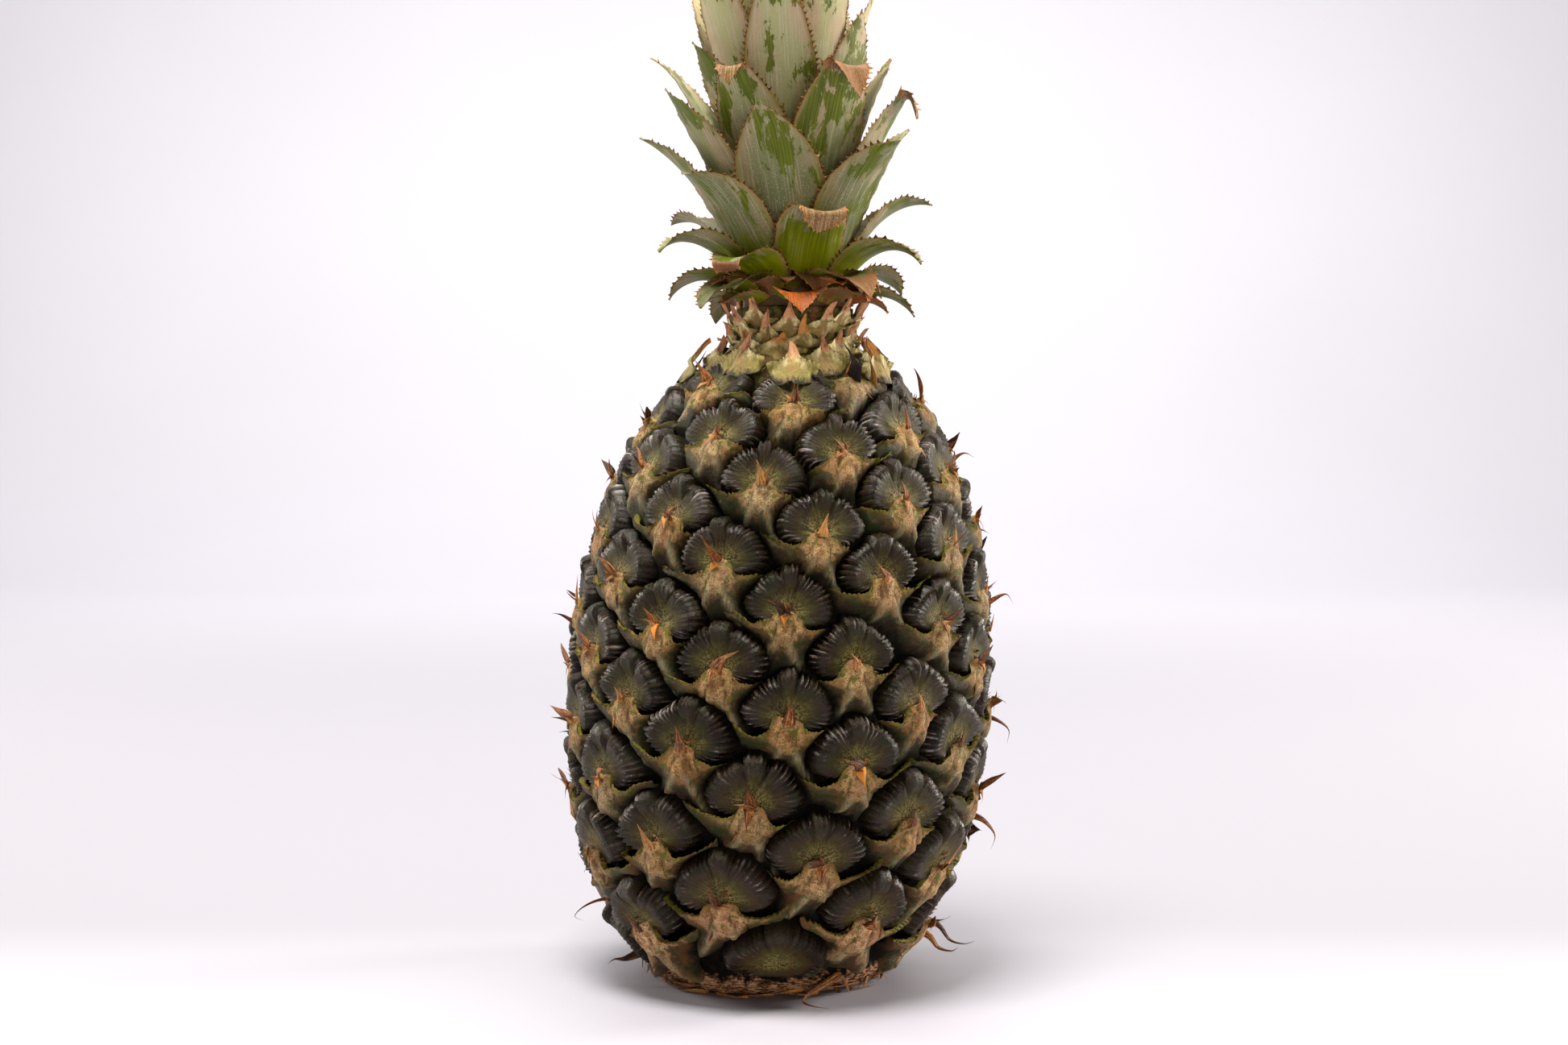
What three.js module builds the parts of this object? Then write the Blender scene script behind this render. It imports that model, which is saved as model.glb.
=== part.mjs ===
// A whole pineapple with its crown, in millimetres, +Z up, standing upright on its cut base.
// The origin is the middle of that flat base, and the front of the fruit faces -Y.
// A turn is an angle about the fruit's axis, counted from the front towards +X.
import * as THREE from "three";
import { ConvexHull } from "three/addons/math/ConvexHull.js";

const DEG = Math.PI / 180;
const FULL_TURN = 2 * Math.PI;

// Body: a superellipse turned about the axis, which runs into a straight neck under the crown
const BODY_RADIUS = 60;
const WIDEST_Z = 78;
const LOWER_REACH = 90;
const UPPER_REACH = 103.2;
const ROUNDNESS = 2.2;
const NECK_RADIUS = 17;
const NECK_BLEND = 6;
const NECK_TOP_Z = 190;
const LEAN = 0.042;
const MERIDIAN_STEP = 0.5;

// Eyes: nine slanting rows close on themselves after six steps, with a slip of half an eye in front
const ROW_COUNT = 9;
const FIRST_STEP = -14;
const LAST_STEP = 15;
const CLOSING_STEPS = 6;
const STEP_TURN = 18.6 * DEG;
const STEP_DROP = 12.418;
const FIRST_TURN = 18.85 * DEG;
const FIRST_RISE = 54.33;
const RISE_ZERO_Z = 90;
const RISE_SQUARE = -0.922e-3;
const RISE_CUBE_BELOW = 3.469e-5;
const RISE_CUBE_ABOVE = 2.2e-5;
const ROW_SLIP = [0, 0, 0, 0.58, 0.58, 0.58, 0.43, 0.29, 0.14];
const LOWEST_EYE_Z = -4;
const HIGHEST_EYE_Z = 170;
const EYE_REACH = 34;
const EYE_SIZE_RANGE = [0.85, 1.18];

// One eye, measured from the middle of its bract: a fan-shaped dome above a five-armed bract
const DOME_MIDDLE = 7.6;
const DOME_HALF_WIDTH = 12;
const DOME_UP = 10.4;
const DOME_DOWN = 6.4;
const DOME_SQUARENESS = 2.3;
const DOME_CROWN = 1.2;
const DOME_EDGE = [0.86, 1.04];
const GROOVE_DEPTH = 5.4;
const GROOVE_SHARE = 0.2;
const GROOVE_CUT = 3.8;
const GROOVE_BAND = [1.06, 1.24];
const FLOOR_DEPTH = 6.6;
const BRACT_FALL = 2.6;
const BRACT_CUT = 1.5;
const BRACT_ARMS = [
  { angle: 90, length: 5, width: [3.6, 1.3], height: [0.9, 1.6] },
  { angle: 4, length: 15.2, width: [4.6, 1.3], height: [0.6, -2.6] },
  { angle: 176, length: 15.2, width: [4.6, 1.3], height: [0.6, -2.6] },
  { angle: -60, length: 15.5, width: [5, 2.2], height: [0.4, -3.4] },
  { angle: -120, length: 15.5, width: [5, 2.2], height: [0.4, -3.4] },
  { angle: -90, length: 13, width: [5.4, 4.6], height: [-0.2, -3.8] },
];
const BRACT_POINTS = [
  [0, -1], [6.8, 0.4], [-6.8, 0.4], [14, 0.9], [-14, 0.9],
  [3.6, -6.2], [-3.6, -6.2], [7, -12.4], [-7, -12.4], [0, -9.5],
];
const DOME_RINGS = [
  { share: 0, count: 1 },
  { share: 0.86, count: 10 },
  { share: 1.09, count: 11 },
  { share: 0.5, count: 5 },
];
const POINT_SPACING = 2.2;

// The dried spine on each bract: a small three-sided pyramid that points up and outwards
const SPINE_HALF_WIDTH = 1.5;
const SPINE_ROOT = 0.6;
const SPINE_BACK = 3;
const SPINE_OUT = [2.8, 5.6];
const SPINE_UP = [1.5, 4];

// Small pointed bracts round the shoulder and neck, on a golden-angle spiral
const GOLDEN_TURN = 137.5 * DEG;
const NECK_BRACT_COUNT = 26;
const NECK_BRACT_Z = [173.5, 188];
// Its corners: across, up, and how far the point stands out and is drawn up from there
const NECK_BRACT_CORNERS = [
  [-3.2, -1.2, 0, 0],
  [3.2, -1.2, 0, 0],
  [0, -0.6, 1, 0],
  [0, 2.2, 0, 0],
  [0, 0.8, 2.6, 3.6],
];

// Flat base and neck top
const BASE_POINTS = 40;
const BASE_CLEAR = 3.2;
const NECK_POINTS = 16;
const LOWEST_RELIEF_Z = 0.5;

// Crown: a stem that tapers, with leaves on the same golden-angle spiral, lowest first
const CROWN_GAP = 0.3;
const CROWN_STEM_Z = [NECK_TOP_Z + CROWN_GAP, 262];
const CROWN_STEM_RADIUS = [15, 5.5];
const CROWN_STEM_SIDES = 20;
const CROWN_LEAN = -0.056;
const LOWEST_LEAF = -21;
const HIGHEST_LEAF = 26;
const FRONT_LEAF_TURN = -5 * DEG;
const FRONT_LEAF_Z = 204.5;
const LOW_LEAF_SPACING = 0.62;
const HIGH_LEAF_SPACING = 1.7;
const LEAF_LENGTH = 52;
const LOW_LEAF_LENGTH = 14;
const LEAF_WIDTH = 26;
const LEAF_THICKNESS = 1;
const LEAF_ROOM = 0.5;
const LEAF_WAVE = 0.35;
const MOST_TIP_LEAN = 150;
const MOST_ROOT_LEAN = 68;
const LEAF_ROWS = 7;
const LINE_PARTS = 8;
const LEAF_COLUMNS = 4;
const WIDEST_WRAP = 0.7;

// Leaves that differ from the rule: turn, swing of the tip and lean of the tip in degrees, how much
// longer they are, and the share of the length that is left where a dried tip has folded over
const LEAF_CHANGES = {
  "-15": { turn: 8 },
  "-13": { turn: -14, left: 0.9 },
  "-8": { left: 0.85 },
  "-5": { turn: -6 },
  "-1": { turn: -16 },
  "0": { swing: -6, longer: -6.5 },
  "2": { left: 0.92 },
  "3": { turn: -12, longer: -8 },
  "5": { turn: 6, left: 0.88 },
  "6": { tipLean: 60 },
  "7": { longer: -6 },
  "8": { turn: -4, tipLean: 50, longer: -13, left: 0.92 },
  "10": { turn: -8, tipLean: 15, longer: -8 },
  "11": { turn: 24, tipLean: 50, longer: -18 },
  "13": { turn: -9 },
};

function clamp(value, low, high) {
  return Math.min(high, Math.max(low, value));
}

function mix(pair, share) {
  return pair[0] + (pair[1] - pair[0]) * share;
}

function smoothStep(low, high, value) {
  const share = clamp((value - low) / (high - low), 0, 1);
  return share * share * (3 - 2 * share);
}

// A fixed series of draws between 0 and 1
function makeDraws(seed) {
  let state = seed;
  return () => {
    state = (state * 1664525 + 1013904223) % 4294967296;
    return state / 4294967296;
  };
}

function bodyRadius(z) {
  const reach = z < WIDEST_Z ? LOWER_REACH : UPPER_REACH;
  const rest = 1 - Math.pow(Math.abs(z - WIDEST_Z) / reach, ROUNDNESS);
  const radius = BODY_RADIUS * Math.pow(Math.max(rest, 0), 1 / ROUNDNESS);
  return Math.pow(Math.pow(radius, NECK_BLEND) + Math.pow(NECK_RADIUS, NECK_BLEND), 1 / NECK_BLEND);
}

// The fruit's side from base rim to neck top: height, radius, slope, length along the side, and a
// stretch coordinate that maps the side onto a sphere without changing any angle
function makeMeridian() {
  const rows = [];
  let length = 0;
  let stretch = 0;
  for (let z = 0; z <= NECK_TOP_Z; z += MERIDIAN_STEP) {
    const r = bodyRadius(z);
    const slope = (bodyRadius(z + 0.01) - bodyRadius(z - 0.01)) / 0.02;
    if (rows.length > 0) {
      const piece = Math.hypot(r - rows.at(-1).r, MERIDIAN_STEP);
      length += piece;
      stretch += piece / r;
    }
    rows.push({ z, r, slope, length, stretch });
  }
  const middle = rows[Math.round(WIDEST_Z / MERIDIAN_STEP)].stretch;
  rows.forEach((row) => { row.stretch -= middle; });
  return rows;
}

const MERIDIAN = makeMeridian();
const SIDE_LENGTH = MERIDIAN.at(-1).length;

// The side's values where one of them, named by key, has the given value
function sideAt(key, value) {
  let low = 0;
  let high = MERIDIAN.length - 1;
  while (high - low > 1) {
    const middle = (low + high) >> 1;
    if (MERIDIAN[middle][key] <= value) low = middle;
    else high = middle;
  }
  const before = MERIDIAN[low];
  const after = MERIDIAN[high];
  const share = clamp((value - before[key]) / (after[key] - before[key]), 0, 1);
  const side = {};
  for (const name of Object.keys(before)) side[name] = mix([before[name], after[name]], share);
  return side;
}

// A point of the fruit: moved out from the smooth side by `out` and along it by `up`
function fruitPoint(turn, length, out, up) {
  const side = sideAt("length", length);
  const tilt = Math.hypot(1, side.slope);
  const radius = side.r + (out + up * side.slope) / tilt;
  const z = side.z + (up - out * side.slope) / tilt;
  return new THREE.Vector3(LEAN * z + radius * Math.sin(turn), -radius * Math.cos(turn), z);
}

function makeEyes() {
  const eyes = [];
  const rowTurn = (CLOSING_STEPS * STEP_TURN - FULL_TURN) / ROW_COUNT;
  const rowDrop = (CLOSING_STEPS * STEP_DROP) / ROW_COUNT;
  for (let row = 0; row < ROW_COUNT; row += 1) {
    for (let step = FIRST_STEP; step <= LAST_STEP; step += 1) {
      const place = step + ROW_SLIP[row];
      const rise = FIRST_RISE - row * rowDrop - place * STEP_DROP;
      const cube = rise < 0 ? RISE_CUBE_BELOW : RISE_CUBE_ABOVE;
      const z = RISE_ZERO_Z + rise + RISE_SQUARE * rise ** 2 + cube * rise ** 3;
      if (z < LOWEST_EYE_Z || z > HIGHEST_EYE_Z) continue;
      const side = sideAt("z", z);
      const spread = 1 + 2 * RISE_SQUARE * rise + 3 * cube * rise ** 2;
      const tall = spread * Math.hypot(1, side.slope);
      const size = Math.sqrt((side.r / BODY_RADIUS) * tall);
      eyes.push({
        turn: FIRST_TURN + row * rowTurn + place * STEP_TURN,
        length: side.length + Math.min(z, 0),
        size: clamp(size, ...EYE_SIZE_RANGE),
      });
    }
  }
  return eyes;
}

const EYES = makeEyes();

// Where a point of the side lies in an eye: across and up, in that eye's own size
function inEye(eye, turn, side) {
  const apart = turn - eye.turn;
  const nearest = apart - FULL_TURN * Math.round(apart / FULL_TURN);
  return [(nearest * side.r) / eye.size, (side.length - eye.length) / eye.size];
}

// 0 in the middle of the dome and 1 at its rim
function domeShare(across, up) {
  const half = up > DOME_MIDDLE ? DOME_UP : DOME_DOWN;
  const a = Math.pow(Math.abs(across) / DOME_HALF_WIDTH, DOME_SQUARENESS);
  const b = Math.pow(Math.abs(up - DOME_MIDDLE) / half, DOME_SQUARENESS);
  return Math.pow(a + b, 1 / DOME_SQUARENESS);
}

function bractHeight(across, up) {
  let height = -FLOOR_DEPTH;
  for (const arm of BRACT_ARMS) {
    const dx = Math.cos(arm.angle * DEG);
    const dy = Math.sin(arm.angle * DEG);
    const along = clamp((across * dx + up * dy) / arm.length, 0, 1);
    const aside = Math.hypot(across - along * arm.length * dx, up - along * arm.length * dy);
    const share = aside / mix(arm.width, along);
    if (share > BRACT_CUT) continue;
    height = Math.max(height, mix(arm.height, along) - BRACT_FALL * share * share);
  }
  return height;
}

// Height of the rind over the smooth side: domes in deep grooves, which cut into the bracts of other
// eyes, and each dome's own bract over its lower edge
function rindHeight(turn, side) {
  let nearest = 9;
  let second = 9;
  let own = -FLOOR_DEPTH;
  let others = -FLOOR_DEPTH;
  for (const eye of EYES) {
    if (Math.abs(side.length - eye.length) > EYE_REACH) continue;
    const [across, up] = inEye(eye, turn, side);
    if (Math.abs(across) > EYE_REACH) continue;
    const share = domeShare(across, up);
    const bract = bractHeight(across, up);
    if (share < nearest) {
      second = nearest;
      nearest = share;
      others = Math.max(others, own);
      own = bract;
    } else {
      second = Math.min(second, share);
      others = Math.max(others, bract);
    }
  }
  const edge = smoothStep(...DOME_EDGE, nearest);
  const shared = 1 - smoothStep(0, GROOVE_SHARE, second - nearest);
  const dome = -DOME_CROWN * Math.min(nearest, 1) ** 2 - GROOVE_DEPTH * Math.max(edge, shared);
  const cut = GROOVE_CUT * (1 - smoothStep(...GROOVE_BAND, nearest));
  return Math.max(dome, own, others - cut, -FLOOR_DEPTH);
}

// Collects the rind's points, and leaves out those too close to one that is there already
class RindPoints {
  constructor() {
    this.list = [];
  }

  isFree(turn, side, spacing) {
    return this.list.every((point) => {
      const rise = side.length - point.length;
      if (Math.abs(rise) > spacing) return true;
      const apart = turn - point.turn;
      const nearest = apart - FULL_TURN * Math.round(apart / FULL_TURN);
      return Math.hypot(nearest * side.r, rise) > spacing;
    });
  }

  add(turn, length, out, up, spacing) {
    if (length < BASE_CLEAR || length > SIDE_LENGTH - BASE_CLEAR) return;
    const side = sideAt("length", length);
    if (spacing > 0 && !this.isFree(turn, side, spacing)) return;
    const height = out === null ? rindHeight(turn, side) : out;
    const place = fruitPoint(turn, length, height, up);
    place.z = Math.max(place.z, LOWEST_RELIEF_Z);
    this.list.push({ turn, length, stretch: side.stretch, place });
  }

  addRing(count, row) {
    for (let i = 0; i < count; i += 1) {
      const turn = (i * FULL_TURN) / count;
      const place = fruitPoint(turn, row.length, 0, 0);
      this.list.push({ turn, length: row.length, stretch: row.stretch, place });
    }
  }
}

function addSpine(points, eye, draw) {
  const side = sideAt("length", eye.length);
  const put = (across, up, out, shift) => {
    points.add(eye.turn + (across * eye.size) / side.r, eye.length + up * eye.size, out, shift, 0);
  };
  const tilt = (draw() - 0.5) * SPINE_HALF_WIDTH;
  put(-SPINE_HALF_WIDTH, SPINE_ROOT, null, 0);
  put(SPINE_HALF_WIDTH, SPINE_ROOT, null, 0);
  put(tilt, SPINE_BACK, null, 0);
  put(0, (SPINE_ROOT * 2 + SPINE_BACK) / 3, mix(SPINE_OUT, draw()), mix(SPINE_UP, draw()));
}

function addBract(points, eye) {
  for (const [across, up] of BRACT_POINTS) {
    const side = sideAt("length", eye.length + up * eye.size);
    const turn = eye.turn + (across * eye.size) / side.r;
    points.add(turn, eye.length + up * eye.size, null, 0, POINT_SPACING);
  }
}

function addDomeRing(points, eye, ring) {
  for (let i = 0; i < ring.count; i += 1) {
    const angle = ((i + 0.25) * FULL_TURN) / ring.count;
    const half = Math.sin(angle) > 0 ? DOME_UP : DOME_DOWN;
    const across = ring.share * DOME_HALF_WIDTH * Math.cos(angle) * eye.size;
    const up = (DOME_MIDDLE + ring.share * half * Math.sin(angle)) * eye.size;
    const side = sideAt("length", eye.length + up);
    points.add(eye.turn + across / side.r, eye.length + up, null, 0, POINT_SPACING);
  }
}

function addNeckBract(points, index) {
  const share = index / (NECK_BRACT_COUNT - 1);
  const side = sideAt("z", mix(NECK_BRACT_Z, share));
  const turn = index * GOLDEN_TURN;
  for (const [across, up, out, shift] of NECK_BRACT_CORNERS) {
    points.add(turn + across / side.r, side.length + up, out, shift, 0);
  }
}

// Joins the points as their places on a sphere would be joined by a tight skin
function skinOver(points) {
  const onSphere = points.map(({ turn, stretch }) => {
    const latitude = 2 * Math.atan(Math.exp(stretch)) - Math.PI / 2;
    const flat = Math.cos(latitude);
    return new THREE.Vector3(flat * Math.sin(turn), -flat * Math.cos(turn), Math.sin(latitude));
  });
  const numberOf = new Map(onSphere.map((point, i) => [point, i]));
  const hull = new ConvexHull().setFromPoints(onSphere);
  const index = [];
  for (const face of hull.faces) {
    let edge = face.edge;
    do {
      index.push(numberOf.get(edge.head().point));
      edge = edge.next;
    } while (edge !== face.edge);
  }
  return index;
}

function makeFruitGeometry() {
  const draw = makeDraws(11);
  const points = new RindPoints();
  points.addRing(BASE_POINTS, MERIDIAN[0]);
  points.addRing(NECK_POINTS, MERIDIAN.at(-1));
  for (let i = 0; i < NECK_BRACT_COUNT; i += 1) addNeckBract(points, i);
  for (const eye of EYES) addSpine(points, eye, draw);
  for (const eye of EYES) addBract(points, eye);
  for (const ring of DOME_RINGS) {
    for (const eye of EYES) addDomeRing(points, eye, ring);
  }
  const geometry = new THREE.BufferGeometry();
  geometry.setFromPoints(points.list.map((point) => point.place));
  geometry.setIndex(skinOver(points.list));
  geometry.computeVertexNormals();
  return geometry;
}

function crownShift(z) {
  return LEAN * NECK_TOP_Z + CROWN_LEAN * (z - NECK_TOP_Z);
}

function stemRadius(z) {
  const share = (z - CROWN_STEM_Z[0]) / (CROWN_STEM_Z[1] - CROWN_STEM_Z[0]);
  return mix(CROWN_STEM_RADIUS, clamp(share, 0, 1));
}

function makeCrownStemGeometry() {
  const [bottom, top] = CROWN_STEM_Z;
  const [wide, narrow] = CROWN_STEM_RADIUS;
  const profile = [
    new THREE.Vector2(0, bottom),
    new THREE.Vector2(wide, bottom),
    new THREE.Vector2(narrow, top - narrow / 2),
    new THREE.Vector2(narrow / 2, top),
    new THREE.Vector2(0, top + narrow / 2),
  ];
  const geometry = new THREE.LatheGeometry(profile, CROWN_STEM_SIDES);
  geometry.rotateX(Math.PI / 2);
  const place = geometry.attributes.position;
  for (let i = 0; i < place.count; i += 1) place.setX(i, place.getX(i) + crownShift(place.getZ(i)));
  return geometry;
}

function leafLength(above, below) {
  const grown = LEAF_LENGTH - LOW_LEAF_LENGTH;
  return LOW_LEAF_LENGTH + grown * Math.exp(below / 11) + 0.9 * above;
}

// What the rule of the spiral gives a leaf. Leaf 0 is the broad one in the middle of the front,
// lower leaves have negative numbers and bend outwards, and higher leaves stand upright.
function planLeaf(number) {
  const above = Math.max(number, 0);
  const below = Math.min(number, 0);
  const change = LEAF_CHANGES[number] ?? {};
  const turn = FRONT_LEAF_TURN - number * GOLDEN_TURN + (change.turn ?? 0) * DEG;
  const rootLean = 24 - 0.4 * above - 1.2 * below + 0.06 * below * below;
  return {
    turn,
    swing: (change.swing ?? 0) * DEG,
    z: FRONT_LEAF_Z + above * HIGH_LEAF_SPACING + below * LOW_LEAF_SPACING,
    length: (change.left ?? 1) * (leafLength(above, below) + (change.longer ?? 0)),
    width: LEAF_WIDTH - 0.33 * above + 0.57 * below,
    widest: 0.5 - 0.006 * above + 0.006 * below,
    rootLean: Math.min(rootLean, MOST_ROOT_LEAN) * DEG,
    tipLean: Math.min(change.tipLean ?? 45 - 1.5 * above - 9.5 * below, MOST_TIP_LEAN) * DEG,
    bend: change.tipLean ? 4 : Math.max(2.4 - 0.0049 * below * below, 1.2),
  };
}

function leafShape(leaf, along) {
  if (along < leaf.widest) return 0.84 + 0.16 * Math.sin((along / leaf.widest) * (Math.PI / 2));
  return 1 - Math.pow((along - leaf.widest) / (1 - leaf.widest), 1.7);
}

// The leaf's middle line: distance from the axis, height and lean from upright at each row
function leafLine(leaf) {
  const line = [];
  const step = leaf.length / (LEAF_ROWS * LINE_PARTS);
  let radius = stemRadius(leaf.z) + LEAF_ROOM + LEAF_THICKNESS / 2;
  let z = leaf.z;
  for (let i = 0; i <= LEAF_ROWS * LINE_PARTS; i += 1) {
    const along = i / (LEAF_ROWS * LINE_PARTS);
    const lean = mix([leaf.rootLean, leaf.tipLean], Math.pow(along, leaf.bend));
    if (i % LINE_PARTS === 0) line.push({ along, radius, z, lean });
    radius += step * Math.sin(lean);
    z += step * Math.cos(lean);
  }
  return line;
}

// One point of a leaf: `across` runs from -1 to 1, `face` is 1 outside, -1 inside and 0 between
function leafPoint(leaf, row, across, face) {
  const half = Math.min((leaf.width / 2) * leafShape(leaf, row.along), WIDEST_WRAP * row.radius);
  const turn = leaf.turn + leaf.swing * row.along ** 2 + (across * half) / row.radius;
  const thick = (LEAF_THICKNESS / 2) * (1 - across * across) * (1 - 0.5 * row.along) * face;
  const wave = LEAF_WAVE * across * row.along * Math.sin(FULL_TURN * (1.4 * row.along) + leaf.turn);
  const radius = row.radius + (thick + wave) * Math.cos(row.lean);
  const z = row.z - (thick + wave) * Math.sin(row.lean);
  return [crownShift(z) + radius * Math.sin(turn), -radius * Math.cos(turn), z];
}

// A thin wavy solid: an outer and an inner face with the same triangles meet along the margins
function makeLeafGeometry(leaf) {
  const line = leafLine(leaf);
  const places = [];
  const rowsOf = { 1: [], "-1": [] };
  for (const row of line.slice(0, LEAF_ROWS)) {
    for (const face of [1, -1]) {
      const numbers = [];
      for (let column = 0; column <= LEAF_COLUMNS; column += 1) {
        const isMargin = column === 0 || column === LEAF_COLUMNS;
        if (isMargin && face === -1) {
          numbers.push(rowsOf[1].at(-1)[column]);
          continue;
        }
        const across = (2 * column) / LEAF_COLUMNS - 1;
        numbers.push(places.length);
        places.push(leafPoint(leaf, row, across, isMargin ? 0 : face));
      }
      rowsOf[face].push(numbers);
    }
  }
  const tip = places.length;
  places.push(leafPoint(leaf, line[LEAF_ROWS], 0, 0));
  const index = [];
  const addTriangle = (a, b, c, face) => index.push(...(face === 1 ? [a, b, c] : [a, c, b]));
  for (const face of [1, -1]) {
    const rows = rowsOf[face];
    for (let i = 0; i < LEAF_ROWS; i += 1) {
      for (let column = 0; column < LEAF_COLUMNS; column += 1) {
        const [a, b] = [rows[i][column], rows[i][column + 1]];
        if (i === LEAF_ROWS - 1) {
          addTriangle(a, b, tip, face);
          continue;
        }
        const [c, d] = [rows[i + 1][column], rows[i + 1][column + 1]];
        addTriangle(a, b, d, face);
        addTriangle(a, d, c, face);
      }
    }
  }
  const outer = rowsOf[1][0];
  const inner = rowsOf[-1][0];
  for (let column = 0; column < LEAF_COLUMNS; column += 1) {
    if (column > 0) index.push(outer[column], inner[column], inner[column + 1]);
    if (column < LEAF_COLUMNS - 1) index.push(outer[column], inner[column + 1], outer[column + 1]);
  }
  const geometry = new THREE.BufferGeometry();
  geometry.setAttribute("position", new THREE.Float32BufferAttribute(places.flat(), 3));
  geometry.setIndex(index);
  geometry.computeVertexNormals();
  return geometry;
}

function makeMesh(name, geometry, material) {
  const mesh = new THREE.Mesh(geometry, material);
  mesh.name = name;
  return mesh;
}

const rind = new THREE.MeshStandardMaterial({ color: 0x3a3524, roughness: 0.5, metalness: 0 });
const pith = new THREE.MeshStandardMaterial({ color: 0x9aa06a, roughness: 0.8, metalness: 0 });
const leafGreen = new THREE.MeshStandardMaterial({ color: 0x8b9683, roughness: 0.6, metalness: 0 });

const pineapple = new THREE.Group();
pineapple.add(makeMesh("fruit", makeFruitGeometry(), rind));
pineapple.add(makeMesh("crown_stem", makeCrownStemGeometry(), pith));
for (let number = LOWEST_LEAF; number <= HIGHEST_LEAF; number += 1) {
  const place = String(number - LOWEST_LEAF + 1).padStart(2, "0");
  pineapple.add(makeMesh(`leaf_${place}`, makeLeafGeometry(planLeaf(number)), leafGreen));
}

export default pineapple;
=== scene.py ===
# A whole pineapple with its crown, dressed over the frame's solids.
# Lengths are in millimetres until a piece is made, and a turn is an angle about the fruit's axis,
# counted from the front (-Y) towards +X.
import math
from functools import partial

import bpy
import numpy as np
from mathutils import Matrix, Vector


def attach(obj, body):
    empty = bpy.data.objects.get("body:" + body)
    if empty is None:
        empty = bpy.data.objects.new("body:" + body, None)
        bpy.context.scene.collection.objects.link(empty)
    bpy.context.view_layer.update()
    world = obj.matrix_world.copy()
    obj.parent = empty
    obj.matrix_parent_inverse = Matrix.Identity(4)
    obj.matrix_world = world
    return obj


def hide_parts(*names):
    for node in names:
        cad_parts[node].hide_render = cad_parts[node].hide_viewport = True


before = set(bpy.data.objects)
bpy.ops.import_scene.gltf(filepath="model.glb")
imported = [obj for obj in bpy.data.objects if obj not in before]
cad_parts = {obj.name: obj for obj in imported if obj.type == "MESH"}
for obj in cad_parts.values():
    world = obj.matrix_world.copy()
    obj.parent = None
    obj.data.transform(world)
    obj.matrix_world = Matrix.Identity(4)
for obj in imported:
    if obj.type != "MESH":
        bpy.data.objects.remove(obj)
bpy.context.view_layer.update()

MM = 0.001
DEG = math.pi / 180
FULL_TURN = 2 * math.pi
GOLDEN_TURN = 137.5 * DEG
FRUIT_SEED = 7
CROWN_SEED = 19

# Body: a superellipse turned about the axis, which runs into a straight neck under the crown
BODY_RADIUS = 60
WIDEST_Z = 78
LOWER_REACH = 90
UPPER_REACH = 103.2
ROUNDNESS = 2.2
NECK_RADIUS = 17
NECK_BLEND = 6
NECK_TOP_Z = 190
LEAN = 0.042
SIDE_Z = np.arange(-11.5, NECK_TOP_Z + 0.01, 0.25)
GROOVE_FLOOR = 6.4
GROOVE_ROWS = 150
GROOVE_COLUMNS = 160
RIND_DEPTH = 6.8
BASE_RIM = 2

# Eyes: nine slanting rows close on themselves after six steps
ROW_COUNT = 9
STEPS = range(-14, 16)
CLOSING_STEPS = 6
STEP_TURN = 18.6 * DEG
STEP_DROP = 12.418
FIRST_TURN = 18.85 * DEG
FIRST_RISE = 54.33
RISE_ZERO_Z = 90
RISE_SQUARE = -0.922e-3
RISE_CUBE_BELOW = 3.469e-5
RISE_CUBE_ABOVE = 2.2e-5
ROW_SLIP = [0, 0, 0, 0.58, 0.58, 0.58, 0.43, 0.29, 0.14]
EYE_Z_RANGE = [-15, 170]
EYE_SIZE_RANGE = [0.85, 1.18]
EYE_REACH = 40
EYE_CHANGE = {"size": 0.02, "place": 0.6, "lean": 3.5 * DEG}
HALF_Z = 66
LOWEST_BRACT_Z = 6
LOWEST_DOME_Z = 0

# One dome, measured from the middle of its bract, with a creased tab at its top
DOME_MIDDLE = 6.9
DOME_FOCUS = 5.2
DOME_HALF_WIDTH = 12.9
DOME_UP = 10.3
DOME_DOWN = 5.9
DOME_SQUARENESS = [1.65, 2.4]
DOME_FAN = [-38 * DEG, 218 * DEG]
DOME_UNDER_COLUMNS = 8
DOME_RINGS = [0.04, 0.18, 0.33, 0.46, 0.57, 0.67, 0.76, 0.84, 0.9, 0.95, 0.99, 1.03, 1.08]
DOME_PROFILE = [
    [0, 0.15, 0.33, 0.5, 0.66, 0.76, 0.84, 0.9, 0.95, 0.99, 1.03, 1.08],
    [-1.5, -1.4, -1.0, -0.4, 0.35, 0.6, 0.4, -0.35, -1.4, -2.8, -4.6, -6.8],
]
RIB_COUNT = 32
RIB_HEIGHT = 0.5
RIB_SHIFT = 0.28
VALLEY_DEPTHS = [0.2, 1.9]
CREST_HEIGHTS = [0.3, 1.2]
# Painted highlights: how many of a dome's ribs get them, and how wide they spread
PAINTED_SHINE_COUNTS = [2, 5]
PAINTED_SHINE_WIDTHS = [0.1, 0.32]
TAB_HALF_WIDTHS = [14, 20]
TAB_SWING = 6
TAB_HEIGHT = 1.1
TAB_CREASE = 1.2
LOWER_SINK = 1.3
GROOVE_DEPTH = 5.4
GROOVE_SHARE = 0.16

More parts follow.
